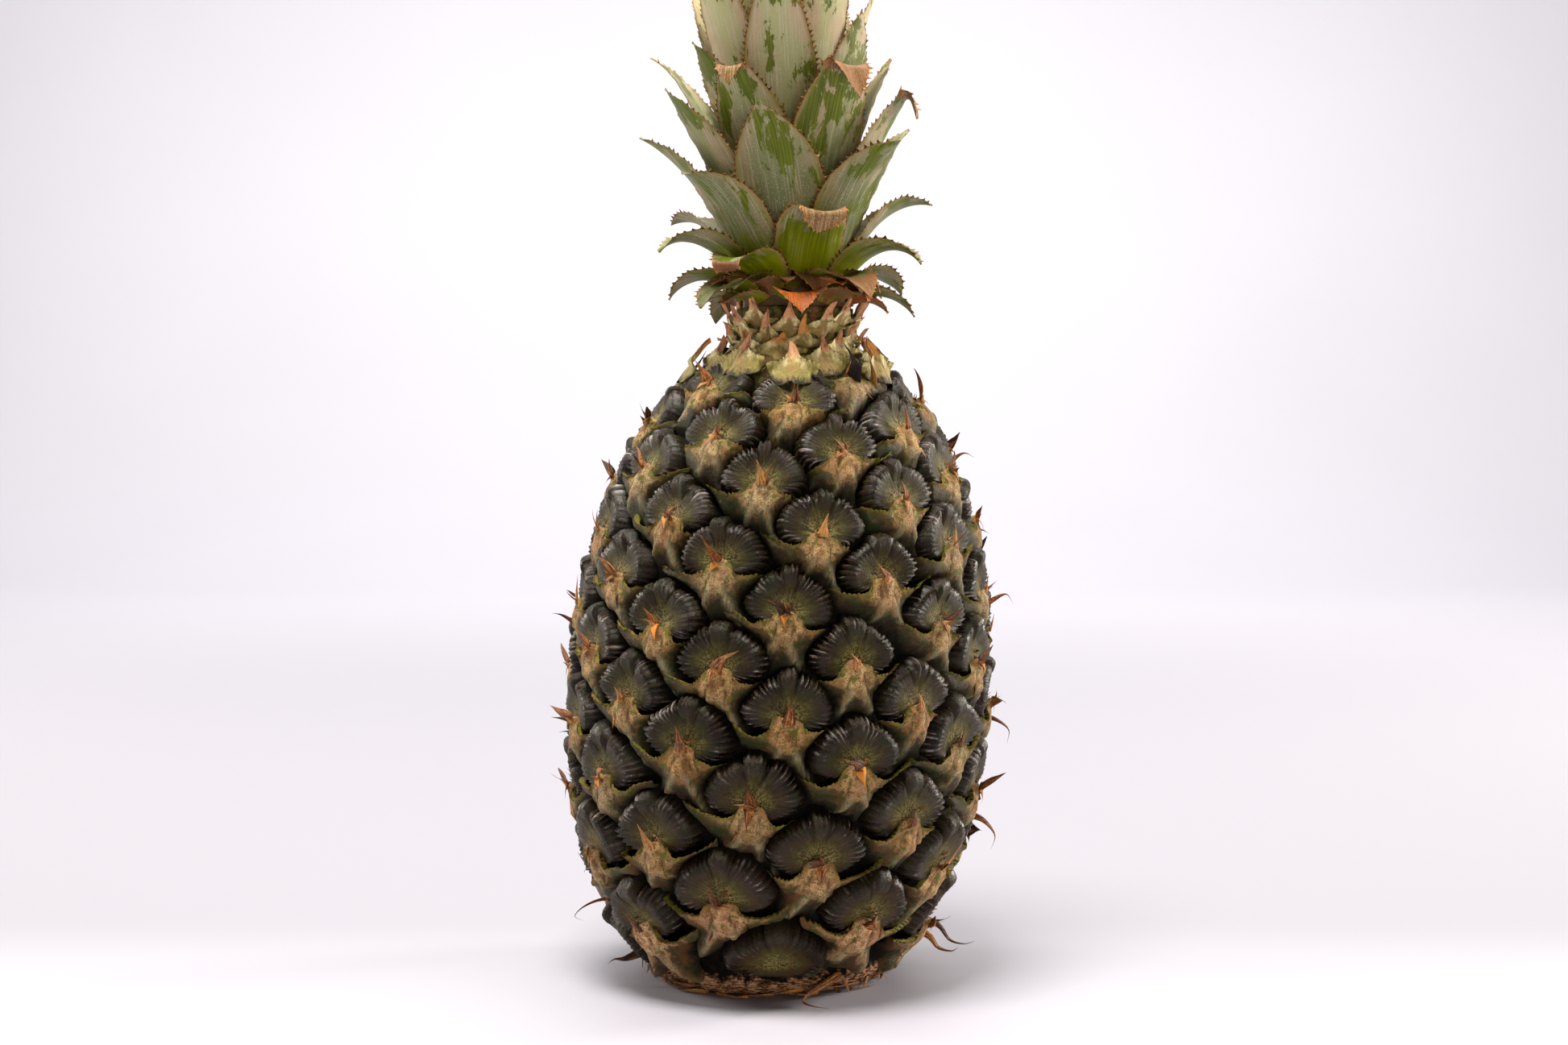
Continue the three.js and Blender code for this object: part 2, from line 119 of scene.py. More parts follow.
# One bract: a sheet between its upper and its lower margin, each drawn from the left tip to the middle
BRACT_UPPER = [[17.6, 4.4], [13.2, 2.6], [9.2, 1.5], [6.2, 1.5], [4.3, 2.9], [3.4, 4.3], [1.5, 5.2]]
BRACT_LOWER = [
    [17.6, 3.2], [15.4, 0.2], [12.8, -2.6], [10.8, -6.0], [9.6, -10.4], [8.0, -15.6], [2.6, -14.4],
]
BRACT_COLUMNS = 80
BRACT_ROWS = [0, 0.03, 0.08, 0.15, 0.23, 0.32, 0.42, 0.52, 0.63, 0.74, 0.86, 1]
BRACT_FALL = 1.5
BRACT_BLEND = 2.2
BRACT_TEETH = 0.34
BRACT_ARMS = [
    {"angle": 90, "length": 5, "width": [3.6, 1.8], "height": [0.8, 1.5]},
    {"angle": 8, "length": 16.8, "width": [4.8, 2.6], "height": [0.8, -0.7]},
    {"angle": 172, "length": 16.8, "width": [4.8, 2.6], "height": [0.8, -0.7]},
    {"angle": -60, "length": 16.5, "width": [3.6, 2.2], "height": [0.7, -2.4]},
    {"angle": -120, "length": 16.5, "width": [3.6, 2.2], "height": [0.7, -2.4]},
    {"angle": -90, "length": 14, "width": [5.2, 5.0], "height": [-0.9, -3.6]},
]
SIDE_ARMS, LEGS = BRACT_ARMS[1:3], BRACT_ARMS[3:5]
LIP_HEIGHT = 0.9
LIP_SHARE = 0.09
LEG_RIDGE = 0.8
STAR_CREASE = 0.45
BRACT_CUT = 3.4
BRACT_CUT_BAND = [1.02, 1.13]
DEEP_CUT = 3
LOWEST_SKIRT_RISE = 2.2

# Small pointed bracts round the shoulder and neck, on a golden-angle spiral
NECK_BRACT_COUNT = 42
NECK_BRACT_Z = [171.5, 188.5]
NECK_BRACT_COLUMNS = 41
NECK_BRACT_ROWS = 12
NECK_BRACT_UPPER = [
    [7.6, -1.2], [5.8, -0.8], [4.2, -0.2], [2.8, 0.7], [1.7, 1.9], [0.95, 3.8], [0.2, 6.6],
]
NECK_BRACT_LOWER = [
    [7.4, -0.9], [6.8, -2.2], [5.8, -3.6], [4.6, -4.8], [3.2, -5.8], [1.8, -6.4], [0.6, -6.6],
]
NECK_BRACT_TEETH = 0.18

# Dried slivers on the bracts and at the base
WHOLE_SPINE_SHARE = 0.45
ORANGE_FLAP_SHARE = 0.4
SCAR_SHARE = 0.6
BASE_FIBRE_STEP = 7 * DEG
RIM_SKIN_STEP = 13 * DEG
RIM_SKIN_LENGTH = 2

# Long curled fibres: points (across, up, out towards the front), width and tint
LONG_FIBRES = [
    [[[20, 6, 30], [14, 3.4, 35.5], [11, 2, 38], [10, 1.2, 41], [12.6, 0.8, 44], [17, 0.7, 46]], 2.2, 0.5],
    [[[44, 17, 8], [49, 14.5, 9], [52, 10.5, 9], [56, 9.6, 10], [59, 10.4, 10]], 1.8, 0.2],
    [[[42, 13, 4], [46.5, 10.6, 5], [49, 7.4, 5], [52.6, 6.6, 6], [54.6, 7.6, 6]], 2.4, 0.5],
    [[[-44, 22, 6], [-49, 21, 6], [-53, 19, 6], [-55, 16.6, 6], [-52.6, 15.6, 7]], 1.1, 0.4],
    [[[-36, 8, 14], [-40, 6.6, 15], [-43, 6.4, 15], [-45, 5, 15]], 2.6, 0.1],
    [[[58, 46, 6], [62, 44, 6], [65, 40, 6], [64, 36, 6]], 2, 0.35],
    [[[60, 74, 4], [65, 73, 4], [69, 70, 4], [68.6, 66, 4]], 1.8, 0.25],
    [[[60, 104, 2], [64.6, 107, 2], [68.4, 108.6, 2], [70.4, 106, 2]], 2.2, 0.4],
    [[[56, 124, 2], [60.6, 127, 2], [63.6, 126, 2]], 1.8, 0.15],
    [[[48, 142, 6], [52.6, 147, 6], [56, 149, 6], [59, 147.6, 6]], 2.2, 0.3],
    [[[-53, 100, 8], [-58, 103, 8], [-61, 103.6, 8]], 1.8, 0.2],
    [[[23, 167, 25.4], [24, 171, 29.4], [23.4, 175, 30.4], [20.8, 179.4, 29]], 5.2, -0.3],
    [[[23.6, 168, 27], [25.4, 172, 30], [25.2, 176.6, 30.6]], 2.8, -0.3],
    [[[28, 165, 20], [29.4, 169, 24], [28.8, 173, 26], [27.8, 176.4, 25.6]], 3, 0.6],
]
LONG_FIBRE_POINTS = 22
LONG_FIBRE_THICKNESS = 0.6
LONG_FIBRE_TWIST = 1.2

# Crown: a stem that tapers, with leaves on the same spiral, lowest first
CROWN_STEM_Z = [190.3, 262]
CROWN_STEM_RADIUS = [15, 5.5]
CROWN_LEAN = -0.056
LEAF_NUMBERS = range(-21, 27)
FRONT_LEAF_TURN = -5 * DEG
FRONT_LEAF_Z = 204.5
LOW_LEAF_SPACING = 0.62
HIGH_LEAF_SPACING = 1.7
LEAF_LENGTH = 52
LOW_LEAF_LENGTH = 14
LEAF_WIDTH = 26
LEAF_THICKNESS = 1
LEAF_ROOM = 0.5
LEAF_WAVE = 0.35
LEAF_RIPPLE = 0.16
LEAF_CHANNEL = 0.3
LEAF_FOLD = 125 * DEG
MOST_TIP_LEAN = 150
MOST_ROOT_LEAN = 68
WIDEST_WRAP = 0.7
LEAF_ROWS = 60
LEAF_COLUMNS = 10
LINE_PARTS = 8
TOOTH_SPACING = 1.5
FRESH_LEAF_OWN = (0, 0.72)
SCALE_OWN = (0.3, 1)
CROWN_SCALE_COUNT = 30
BUD_LEAF_COUNT = 11
LEAF_GROUPS = {
    "low": range(-21, -9), "middle": range(-9, 3), "upper": range(3, 15), "top": range(15, 27),
}

# Leaves that differ from the rule: turn, swing of the tip and lean of the tip in degrees, how much
# longer they are, the share of the length at which a dried tip has folded over or at which the leaf
# has dried, their own number for the colours, and patches without bloom as places across and along
# with their widths
LEAF_CHANGES = {
    -21: {"dry": 0.3, "own": 0.9},
    -16: {"dry": 0.5},
    -15: {"turn": 8},
    -13: {"turn": -14, "fold": 0.82, "bare": [[0, 0.4, 0.9, 0.5]]},
    -10: {"bare": [[0.3, 0.3, 0.6, 0.2]]},
    -9: {"bare": [[0, 0.4, 0.9, 0.4]]},
    -8: {"fold": 0.77, "bare": [[0, 0.4, 0.9, 0.4]]},
    -5: {"turn": -6},
    -3: {"bare": [[0.75, 0.65, 0.3, 0.3], [-0.2, 0.75, 0.3, 0.12]]},
    -1: {"turn": -16, "bare": [[0.5, 0.75, 0.4, 0.2]]},
    0: {
        "swing": -6, "longer": -6.5,
        "bare": [[0.35, 0.84, 0.35, 0.1], [0.3, 0.66, 0.2, 0.06], [0.9, 0.4, 0.25, 0.16]],
    },
    2: {"fold": 0.86, "bare": [[0, 0.7, 0.6, 0.15]]},
    3: {"turn": -12, "longer": -8},
    5: {"turn": 6, "fold": 0.8, "bare": [[0, 0.68, 0.5, 0.18], [-0.8, 0.5, 0.2, 0.2]]},
    6: {"tip_lean": 60},
    7: {"longer": -6},
    8: {
        "turn": -4, "tip_lean": 50, "longer": -13, "fold": 0.86,
        "bare": [[0.4, 0.74, 0.3, 0.06], [-0.7, 0.6, 0.2, 0.1]],
    },
    10: {"turn": -8, "tip_lean": 15, "longer": -8, "bare": [[0.2, 0.72, 0.6, 0.12]]},
    11: {"turn": 24, "tip_lean": 50, "longer": -18, "bare": [[-0.3, 0.78, 0.7, 0.16]]},
    13: {"turn": -9, "bare": [[-0.35, 0.5, 0.14, 0.1]]},
}

# Stage in metres: floor and backdrop, lights and the camera on the front side
FLOOR_DROP = 0.0002
FLOOR_HALF_WIDTH = 5.0
FLOOR_FRONT_Y = -4.0
BACKDROP_Y = 1.6
BACKDROP_BEND = 0.9
BACKDROP_TOP_Z = 4.0
LIGHT_TARGET = (0, 0, 0.12)
WARM = (1, 0.925, 0.81)
WORLD_COLOUR = (0.98, 0.965, 0.98, 1)
WORLD_STRENGTHS = {"To Min": 0.05, "To Max": 0.93}
CAMERA_TARGET = Vector((4.8, 0, 129.07)) * MM
CAMERA_DISTANCE = 600 * MM
CAMERA_RISE = 2 * DEG
CAMERA_LENS = 48
CAMERA_SENSOR = 36


def smooth_step(low, high, value):
    share = np.clip((value - low) / (high - low), 0, 1)
    return share * share * (3 - 2 * share)


def bump(value, width):
    """1 where the value is 0, and less within about the width on either side."""
    return np.exp(-((value / width) ** 2))


def mix(pair, share):
    return pair[0] + (pair[1] - pair[0]) * share


def wobble(draw, across, up, scale, waves=5):
    """Smooth random waves over a surface, about -1 to 1, with lumps of the given size."""
    total = 0
    for _ in range(waves):
        angle, phase = draw.uniform(0, FULL_TURN, 2)
        pace = FULL_TURN / (scale * draw.uniform(1.4, 3))
        total = total + np.sin((across * math.cos(angle) + up * math.sin(angle)) * pace + phase)
    return total / math.sqrt(waves * 2)


def smooth_curve(points, place):
    """Catmull-Rom curve through the points, at places counted in points."""
    points = np.asarray(points, float)
    padded = np.vstack([2 * points[0] - points[1], points, 2 * points[-1] - points[-2]])
    start = np.clip(np.floor(place).astype(int), 0, len(points) - 2)
    t = (place - start)[:, None]
    a, b, c, d = (padded[start + i] for i in range(4))
    cubic = 3 * b - a - 3 * c + d
    return 0.5 * (2 * b + (c - a) * t + (2 * a - 5 * b + 4 * c - d) * t**2 + cubic * t**3)


def grid_faces(rows, columns, closed=False, flip=False):
    """Four-sided faces of a grid of points, row by row."""
    steps = np.arange(columns if closed else columns - 1)
    row, column = np.meshgrid(np.arange(rows - 1), steps, indexing="ij")
    a = row * columns + column
    b = row * columns + (column + 1) % columns
    faces = np.stack([a, b, b + columns, a + columns], -1).reshape(-1, 4)
    return (faces[:, ::-1] if flip else faces).tolist()


def new_object(name, data):
    made = bpy.data.objects.new(name, data)
    bpy.context.scene.collection.objects.link(made)
    return made


def new_mesh(name, points, faces, look):
    """A smooth mesh object, with its points in metres."""
    mesh = bpy.data.meshes.new(name)
    mesh.from_pydata(points, [], faces)
    mesh.polygons.foreach_set("use_smooth", [True] * len(mesh.polygons))
    mesh.materials.append(look)
    return new_object(name, mesh)


class Heap:
    """Points, faces and marks of one kind of thing, gathered for one mesh."""

    def __init__(self):
        self.points = []
        self.faces = []
        self.marks = {}
        self.count = 0

    def add(self, grid, faces, **marks):
        """A mark has one value for each point of the grid, and the grain has three."""
        self.points.append(grid.reshape(-1, 3))
        self.faces += [[i + self.count for i in face] for face in faces]
        for name, values in marks.items():
            shape = grid.shape if name == "grain" else grid.shape[:-1]
            self.marks.setdefault(name, []).append(np.broadcast_to(values, shape).ravel())
        self.count += len(self.points[-1])

    def piece(self, name, look, slot, nodes):
        """One Blender object that rides on the body and stands for the CAD nodes."""
        points = np.concatenate(self.points) * MM
        piece = new_mesh(name, points.tolist(), self.faces, look)
        for mark, parts in self.marks.items():
            kind, key = ("FLOAT_VECTOR", "vector") if mark == "grain" else ("FLOAT", "value")
            attribute = piece.data.attributes.new(mark, kind, "POINT")
            attribute.data.foreach_set(key, np.concatenate(parts).astype(np.float32))
        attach(piece, "root")
        if nodes:
            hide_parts(*nodes)


def body_radius(z):
    reach = np.where(z < WIDEST_Z, LOWER_REACH, UPPER_REACH)
    rest = np.clip(1 - (np.abs(z - WIDEST_Z) / reach) ** ROUNDNESS, 0, None)
    radius = BODY_RADIUS * rest ** (1 / ROUNDNESS)
    return (radius**NECK_BLEND + NECK_RADIUS**NECK_BLEND) ** (1 / NECK_BLEND)


SIDE_R = body_radius(SIDE_Z)
SIDE_SLOPE = np.gradient(SIDE_R, SIDE_Z)
SIDE_LENGTH = np.concatenate([[0], np.cumsum(np.hypot(np.diff(SIDE_R), np.diff(SIDE_Z)))])
SIDE_LENGTH -= np.interp(0, SIDE_Z, SIDE_LENGTH)
TOP_LENGTH = SIDE_LENGTH[-1]


def radius_at(length):
    return np.interp(length, SIDE_LENGTH, SIDE_R)


def fruit_points(turn, length, out, up=0):
    """Points moved out from the smooth side by `out` and along it by `up`."""
    z = np.interp(length, SIDE_LENGTH, SIDE_Z)
    slope = np.interp(length, SIDE_LENGTH, SIDE_SLOPE)
    tilt = np.hypot(1, slope)
    radius = radius_at(length) + (out + up * slope) / tilt
    z = z + (up - out * slope) / tilt
    return np.stack(np.broadcast_arrays(LEAN * z + radius * np.sin(turn), -radius * np.cos(turn), z), -1)


class Eye:
    def __init__(self, turn, length, size, z, lean):
        self.turn = turn
        self.length = length
        self.size = size
        self.z = z
        self.across = (size * math.cos(lean), size * math.sin(lean))
        self.near = []

    def turn_and_length(self, across, up):
        cos, sin = self.across
        length = self.length + up * cos + across * sin
        return self.turn + (across * cos - up * sin) / radius_at(length), length

    def points(self, across, up, out):
        return fruit_points(*self.turn_and_length(across, up), out)

    def inside(self, turn, length):
        """Where a point of the side lies in this eye: across and up, in the eye's own size."""
        apart = ((turn - self.turn + math.pi) % FULL_TURN - math.pi) * radius_at(length)
        above = length - self.length
        cos, sin = (part / self.size**2 for part in self.across)
        return apart * cos + above * sin, above * cos - apart * sin

    def nearest_other_dome(self, across, up):
        """0 in the middle of the nearest dome that isn't this eye's own, 1 at its rim."""
        turn, length = self.turn_and_length(across, up)
        places = (eye.inside(turn, length) for eye in self.near)
        return np.minimum.reduce([dome_share(aside, rise - DOME_MIDDLE) for aside, rise in places])


def make_eyes(draw):
    eyes = []
    row_turn = (CLOSING_STEPS * STEP_TURN - FULL_TURN) / ROW_COUNT
    row_drop = CLOSING_STEPS * STEP_DROP / ROW_COUNT
    for row in range(ROW_COUNT):
        for step in STEPS:
            place = step + ROW_SLIP[row]
            rise = FIRST_RISE - row * row_drop - place * STEP_DROP
            cube = RISE_CUBE_BELOW if rise < 0 else RISE_CUBE_ABOVE
            z = RISE_ZERO_Z + rise + RISE_SQUARE * rise**2 + cube * rise**3
            if not EYE_Z_RANGE[0] <= z <= EYE_Z_RANGE[1]:
                continue
            on_side = max(z, 0)
            slope = np.interp(on_side, SIDE_Z, SIDE_SLOPE)
            spread = 1 + 2 * RISE_SQUARE * rise + 3 * cube * rise**2
            size = math.sqrt(body_radius(on_side) / BODY_RADIUS * spread * math.hypot(1, slope))
            length = np.interp(on_side, SIDE_Z, SIDE_LENGTH) + min(z, 0)
            turn = FIRST_TURN + row * row_turn + place * STEP_TURN
            size = float(np.clip(size, *EYE_SIZE_RANGE)) * (1 + draw.normal(0, EYE_CHANGE["size"]))
            turn += draw.normal(0, EYE_CHANGE["place"]) / radius_at(length)
            length += draw.normal(0, EYE_CHANGE["place"])
            eyes.append(Eye(turn, length, size, z, draw.normal(0, EYE_CHANGE["lean"])))
    for eye in eyes:
        for other in eyes:
            across, up = eye.inside(other.turn, other.length)
            if other is not eye and other.z > LOWEST_DOME_Z and math.hypot(across, up) < EYE_REACH:
                eye.near.append(other)
    return eyes


def dome_share(across, above_middle, power=1):
    """0 in the middle of the dome and 1 at its rim, to the given power."""
    half = np.where(above_middle > 0, DOME_UP, DOME_DOWN)
    square = np.where(above_middle > 0, *DOME_SQUARENESS)
    a = (np.abs(across) / DOME_HALF_WIDTH) ** square
    b = (np.abs(above_middle) / half) ** square
    return (a + b) ** (power / square)


def above_floor(grid, faces, rim=0):
    """Drops the faces under the cut base and lifts the rest of the points onto its ragged rim."""
    flat = grid.reshape(-1, 3)
    turn = np.arctan2(flat[:, 0], -flat[:, 1])
    ragged = 1 + 0.4 * np.sin(5 * turn + 1) + 0.25 * np.sin(13 * turn) + 0.15 * np.sin(31 * turn)
    low = 0.1 + rim * ragged
    kept = [face for face in faces if max(flat[i][2] - low[i] for i in face) > 0]
    flat[:, 2] = np.maximum(flat[:, 2], low)
    return kept


def add_dome(heap, eye, draw):
    """A dome with ribs that fan out to its rim, and a mark on the few ribs that get painted highlights."""
    fan = np.linspace(*DOME_FAN, 2 * RIB_COUNT + 1)
    fan = fan + draw.uniform(-RIB_SHIFT, RIB_SHIFT, len(fan)) * (fan[1] - fan[0])
    under = np.linspace(DOME_FAN[1], DOME_FAN[0] + FULL_TURN, DOME_UNDER_COLUMNS + 2)[1:-1]
    angle = np.concatenate([fan, under])
    columns = len(angle)
    crest = np.concatenate([np.where(np.arange(len(fan)) % 2, 1.0, -1.0), np.zeros(len(under))])
    valleys, crests = (draw.uniform(*ends, columns) for ends in (VALLEY_DEPTHS, CREST_HEIGHTS))
    crest = crest * np.where(crest < 0, valleys, crests)
    broad, narrow = (np.sin(waves * angle + draw.uniform(0, 6)) for waves in (2, 5))
    crest = crest * (0.75 + 0.35 * broad + 0.2 * narrow)
    # The ribs that the look paints with highlight dashes
    shine = np.zeros(columns)
    for _ in range(draw.integers(*PAINTED_SHINE_COUNTS)):
        shine = np.maximum(shine, bump(angle - draw.uniform(*DOME_FAN), draw.uniform(*PAINTED_SHINE_WIDTHS)))
    share = np.array(DOME_RINGS)[:, None] * np.ones(columns)
    tab_turn = draw.uniform(-TAB_SWING, TAB_SWING) * DEG
    tab_half = draw.uniform(*TAB_HALF_WIDTHS) * DEG
    from_top = np.abs(angle - math.pi / 2 - tab_turn)
    tab = 1 - smooth_step(tab_half - 3 * DEG, tab_half + 2 * DEG, from_top)
    crease = bump(from_top - tab_half - 2 * DEG, 4 * DEG)
    rise = smooth_step(0.52, 0.88, share) * (1 - 0.6 * smooth_step(0.98, 1.08, share)) * (1 - 0.5 * tab)
    under_side = smooth_step(0.15, -0.45, np.sin(angle))
    broad, narrow = (np.sin(waves * angle + draw.uniform(0, 6)) for waves in (3, 7))
    lumpy = 0.03 * broad + 0.02 * narrow
    rim = dome_share(np.cos(angle), np.sin(angle), -1)
    reach = rim * (1 + lumpy + 0.03 * crest + 0.07 * tab - 0.1 * crease)
    across = reach * share * np.cos(angle)
    up = DOME_FOCUS + (DOME_MIDDLE - DOME_FOCUS + reach * np.sin(angle)) * share
    height = np.interp(share, *DOME_PROFILE)
    height = height + RIB_HEIGHT * crest * rise + 0.3 * wobble(draw, across, up, 5)
    height = height + smooth_step(0.4, 0.7, share) * (TAB_HEIGHT * tab - TAB_CREASE * crease)
    height = height - LOWER_SINK * under_side * smooth_step(0.25, 0.7, share)
    height = height + draw.uniform(-0.4, 0.4)
    closeness = 1 - smooth_step(0, GROOVE_SHARE, eye.nearest_other_dome(across, up) - share)
    sunk = GROOVE_DEPTH * closeness * smooth_step(0.6, 0.95, share)
    height = np.maximum(height - sunk, -RIND_DEPTH)
    grid = eye.points(across, up, height)
    middle = eye.points(np.array([0.0]), np.array([DOME_FOCUS]), height[0].mean())
    faces = grid_faces(len(DOME_RINGS), columns, closed=True)
    last = len(DOME_RINGS) * columns
    faces += [[last, (i + 1) % columns, i] for i in range(columns)]
    points = np.concatenate([grid.reshape(-1, 3), middle])
    faces = above_floor(points, faces, BASE_RIM)
    grain = np.stack(np.broadcast_arrays(angle * 9, share * 9, eye.turn * 40), -1)
    marks = {"share": share, "crest": crest * rise, "shine": shine}
    marks = {
        name: np.append(np.broadcast_to(values, share.shape), 0) for name, values in marks.items()
    }
    grain = np.vstack([grain.reshape(-1, 3), grain[0, 0]])
    heap.add(points, faces, grain=grain, own=draw.uniform(), **marks)


def along_arm(arm, across, up):
    """The share of the way along an arm, and the distance from its middle line."""
    dx, dy = math.cos(arm["angle"] * DEG), math.sin(arm["angle"] * DEG)
    along = np.clip((across * dx + up * dy) / arm["length"], 0, 1)
    return along, np.hypot(across - along * arm["length"] * dx, up - along * arm["length"] * dy)


def bract_height(across, up):
    heights = []
    for arm in BRACT_ARMS:
        along, aside = along_arm(arm, across, up)
        heights.append(mix(arm["height"], along) - BRACT_FALL * (aside / mix(arm["width"], along)) ** 2)
    return np.log(np.exp(np.array(heights) * BRACT_BLEND).sum(0)) / BRACT_BLEND - 0.3


def ragged_margin(draw, half, spread, count, scale=1):
    """A smooth line from tip to tip through a half margin and its mirror image, moved at random."""
    whole = np.vstack([np.array(half) * [-1, 1], half[::-1]]) * scale
    whole = whole + draw.normal(0, spread, whole.shape)
    return smooth_curve(whole, np.linspace(0, len(whole) - 1, count))


def teeth_along(draw, count, most):
    return np.where(np.arange(count) % 2, 1, -1) * draw.uniform(0, most, count)


def sheet_between(top, bottom, share):
    """Across and up on a sheet between two margins."""
    return (top[:, i] * (1 - share) + bottom[:, i] * share for i in (0, 1))


def with_under_row(across, up, height, drop, depth):
    """Adds a row tucked in under the upper margin, which gives the margin its thickness."""
    under = (across[0] * 0.97, up[0] - drop, height[0] - depth)
    return (np.vstack([row, values]) for row, values in zip(under, (across, up, height)))


def add_bract(heap, eye, draw):
    """A star-shaped bract with a toothed upper margin, two side arms and two legs."""
    top = ragged_margin(draw, BRACT_UPPER, 0.35, BRACT_COLUMNS)
    bottom = ragged_margin(draw, BRACT_LOWER, 0.5, BRACT_COLUMNS)
    aside = np.abs(top[:, 0])
    top[:, 1] += teeth_along(draw, BRACT_COLUMNS, BRACT_TEETH) * np.where(aside > 2, 1, 0.5)
    share = np.array(BRACT_ROWS)[:, None]
    across, up = sheet_between(top, bottom, share)
    height = bract_height(across, up)
    height = height + LIP_HEIGHT * (np.exp(-share / LIP_SHARE) * smooth_step(2, 6, aside))
    height = height + 0.3 * wobble(draw, across, up, 3.5) + 0.12 * wobble(draw, across, up, 1.2)
    off = np.abs(across) - 2.1 - 0.16 * (2 - up) - 0.3 * np.sin(up * 1.3 + eye.turn * 9)
    crease = bump(off, 0.5) * smooth_step(3.4, 1.6, up) * smooth_step(-7, -3, up)
    height = height - STAR_CREASE * crease
    height = height + LOWEST_SKIRT_RISE * smooth_step(26, 20, eye.z) * smooth_step(-3, -9, up)
    for arm in LEGS:
        along, off = along_arm(arm, across, up)
        fade = 1 - 0.4 * along
        height = height + LEG_RIDGE * bump(off, 0.9) * smooth_step(0, 0.25, along) * fade
    other = eye.nearest_other_dome(across, up)
    height = height - BRACT_CUT * (1 - smooth_step(*BRACT_CUT_BAND, other))
    height = height - DEEP_CUT * (1 - smooth_step(0.9, 1, other))
    height = height - 3 * smooth_step(0.82, 1, share)
    height = np.maximum(height, -RIND_DEPTH)
    across, up, height = with_under_row(across, up, height, 0.5, 1.8)
    share, crease = np.vstack([[[0]], share]), np.vstack([crease[:1], crease])
    grow = mix((1, 1.25), smooth_step(45, 15, eye.z))
    star = bump(np.hypot(across, up - 0.4), 4.6 * grow)
    ridge, arms = np.zeros(star.shape), np.zeros(star.shape)
    for arm in LEGS:
        along, off = along_arm(arm, across, up)
        star = np.maximum(star, bump(off, 1.4 * grow) * (0.74 * grow - 0.85 * along))
        ridge = np.maximum(ridge, bump(off, 0.8) * smooth_step(0.05, 0.3, along) * (1 - 0.4 * along))
    for arm in SIDE_ARMS:
        along, off = along_arm(arm, across, up)
        arms = np.maximum(arms, bump(off, 2.6) * (1 - 0.75 * along))
        star = np.maximum(star, bump(off, 1.8 * grow) * (0.86 * grow - 1.05 * along))
    neck = bump(across, 3) * smooth_step(0, 2, up)
    grid = eye.points(across, up, height)
    faces = above_floor(grid, grid_faces(len(BRACT_ROWS) + 1, BRACT_COLUMNS, flip=True), BASE_RIM)
    heap.add(
        grid, faces, star=np.maximum(star, neck), ridge=ridge, arm=arms, crease=crease,
        web=bump(across, 3.2) * smooth_step(-2.5, -6, up),
        edge=np.exp(-share / LIP_SHARE) * smooth_step(2, 5, np.abs(across)),
        # deep marks the low parts of the sheet, which the look paints near-black as shade
        deep=smooth_step(-1.6, -4.6, height), own=draw.uniform(),
        grain=np.stack(np.broadcast_arrays(across, up, eye.turn * 50 + eye.length), -1),
    )


def add_sliver(heap, place, path, root, width, thick, tint, twist=0, sides=6):
    """A dried sliver along a path of (across, up, out) steps from its root, flat and pointed."""
    path = np.asarray(root) + np.asarray(path)
    count = len(path)
    ahead = np.gradient(path, axis=0)
    ahead /= np.linalg.norm(ahead, axis=1)[:, None] + 1e-9
    side = np.cross(ahead, [0.0, 0.0, 1.0]) + [1e-6, 0, 0]
    side /= np.linalg.norm(side, axis=1)[:, None]
    face = np.cross(side, ahead)
    along = np.linspace(0, 1, count)
    cos, sin = np.cos(twist * along)[:, None], np.sin(twist * along)[:, None]
    side, face = side * cos + face * sin, face * cos - side * sin
    taper = (1 - along**1.3) * (0.75 + 0.25 * np.cos(along * math.pi)) + 0.04
    angle = np.arange(sides) * FULL_TURN / sides
    ring = (
        path[:, None]
        + side[:, None] * (np.cos(angle) * width / 2)[None, :, None] * taper[:, None, None]
        + face[:, None] * (np.sin(angle) * thick / 2)[None, :, None] * taper[:, None, None]
    )
    points = place(ring[..., 0], ring[..., 1], ring[..., 2])
    faces = grid_faces(count, sides, closed=True) + [list(range(sides))[::-1]]
    faces.append([(count - 1) * sides + i for i in range(sides)])
    length = np.append(0, np.cumsum(np.linalg.norm(np.diff(path, axis=0), axis=1)))[:, None]
    local = np.broadcast_arrays(np.cos(angle) * width / 2, length, tint * 90 + np.sin(angle))
    heap.add(points, above_floor(points, faces), tint=tint, grain=np.stack(local, -1))


def bent_path(draw, length, climb, aside, bend, bend_aside, count=8):
    """A path that starts `climb` above the side and `aside` off upright and bends as it goes."""
    along = np.linspace(0, 1, count)
    step = length / (count - 1)
    rise = climb + bend * along
    swing = aside + bend_aside * along + draw.normal(0, 0.06, count)
    moves = np.stack([np.sin(swing) * np.cos(rise), np.cos(swing) * np.cos(rise), np.sin(rise)], -1) * step
    return np.vstack([[0, 0, 0], np.cumsum(moves[:-1], axis=0)])


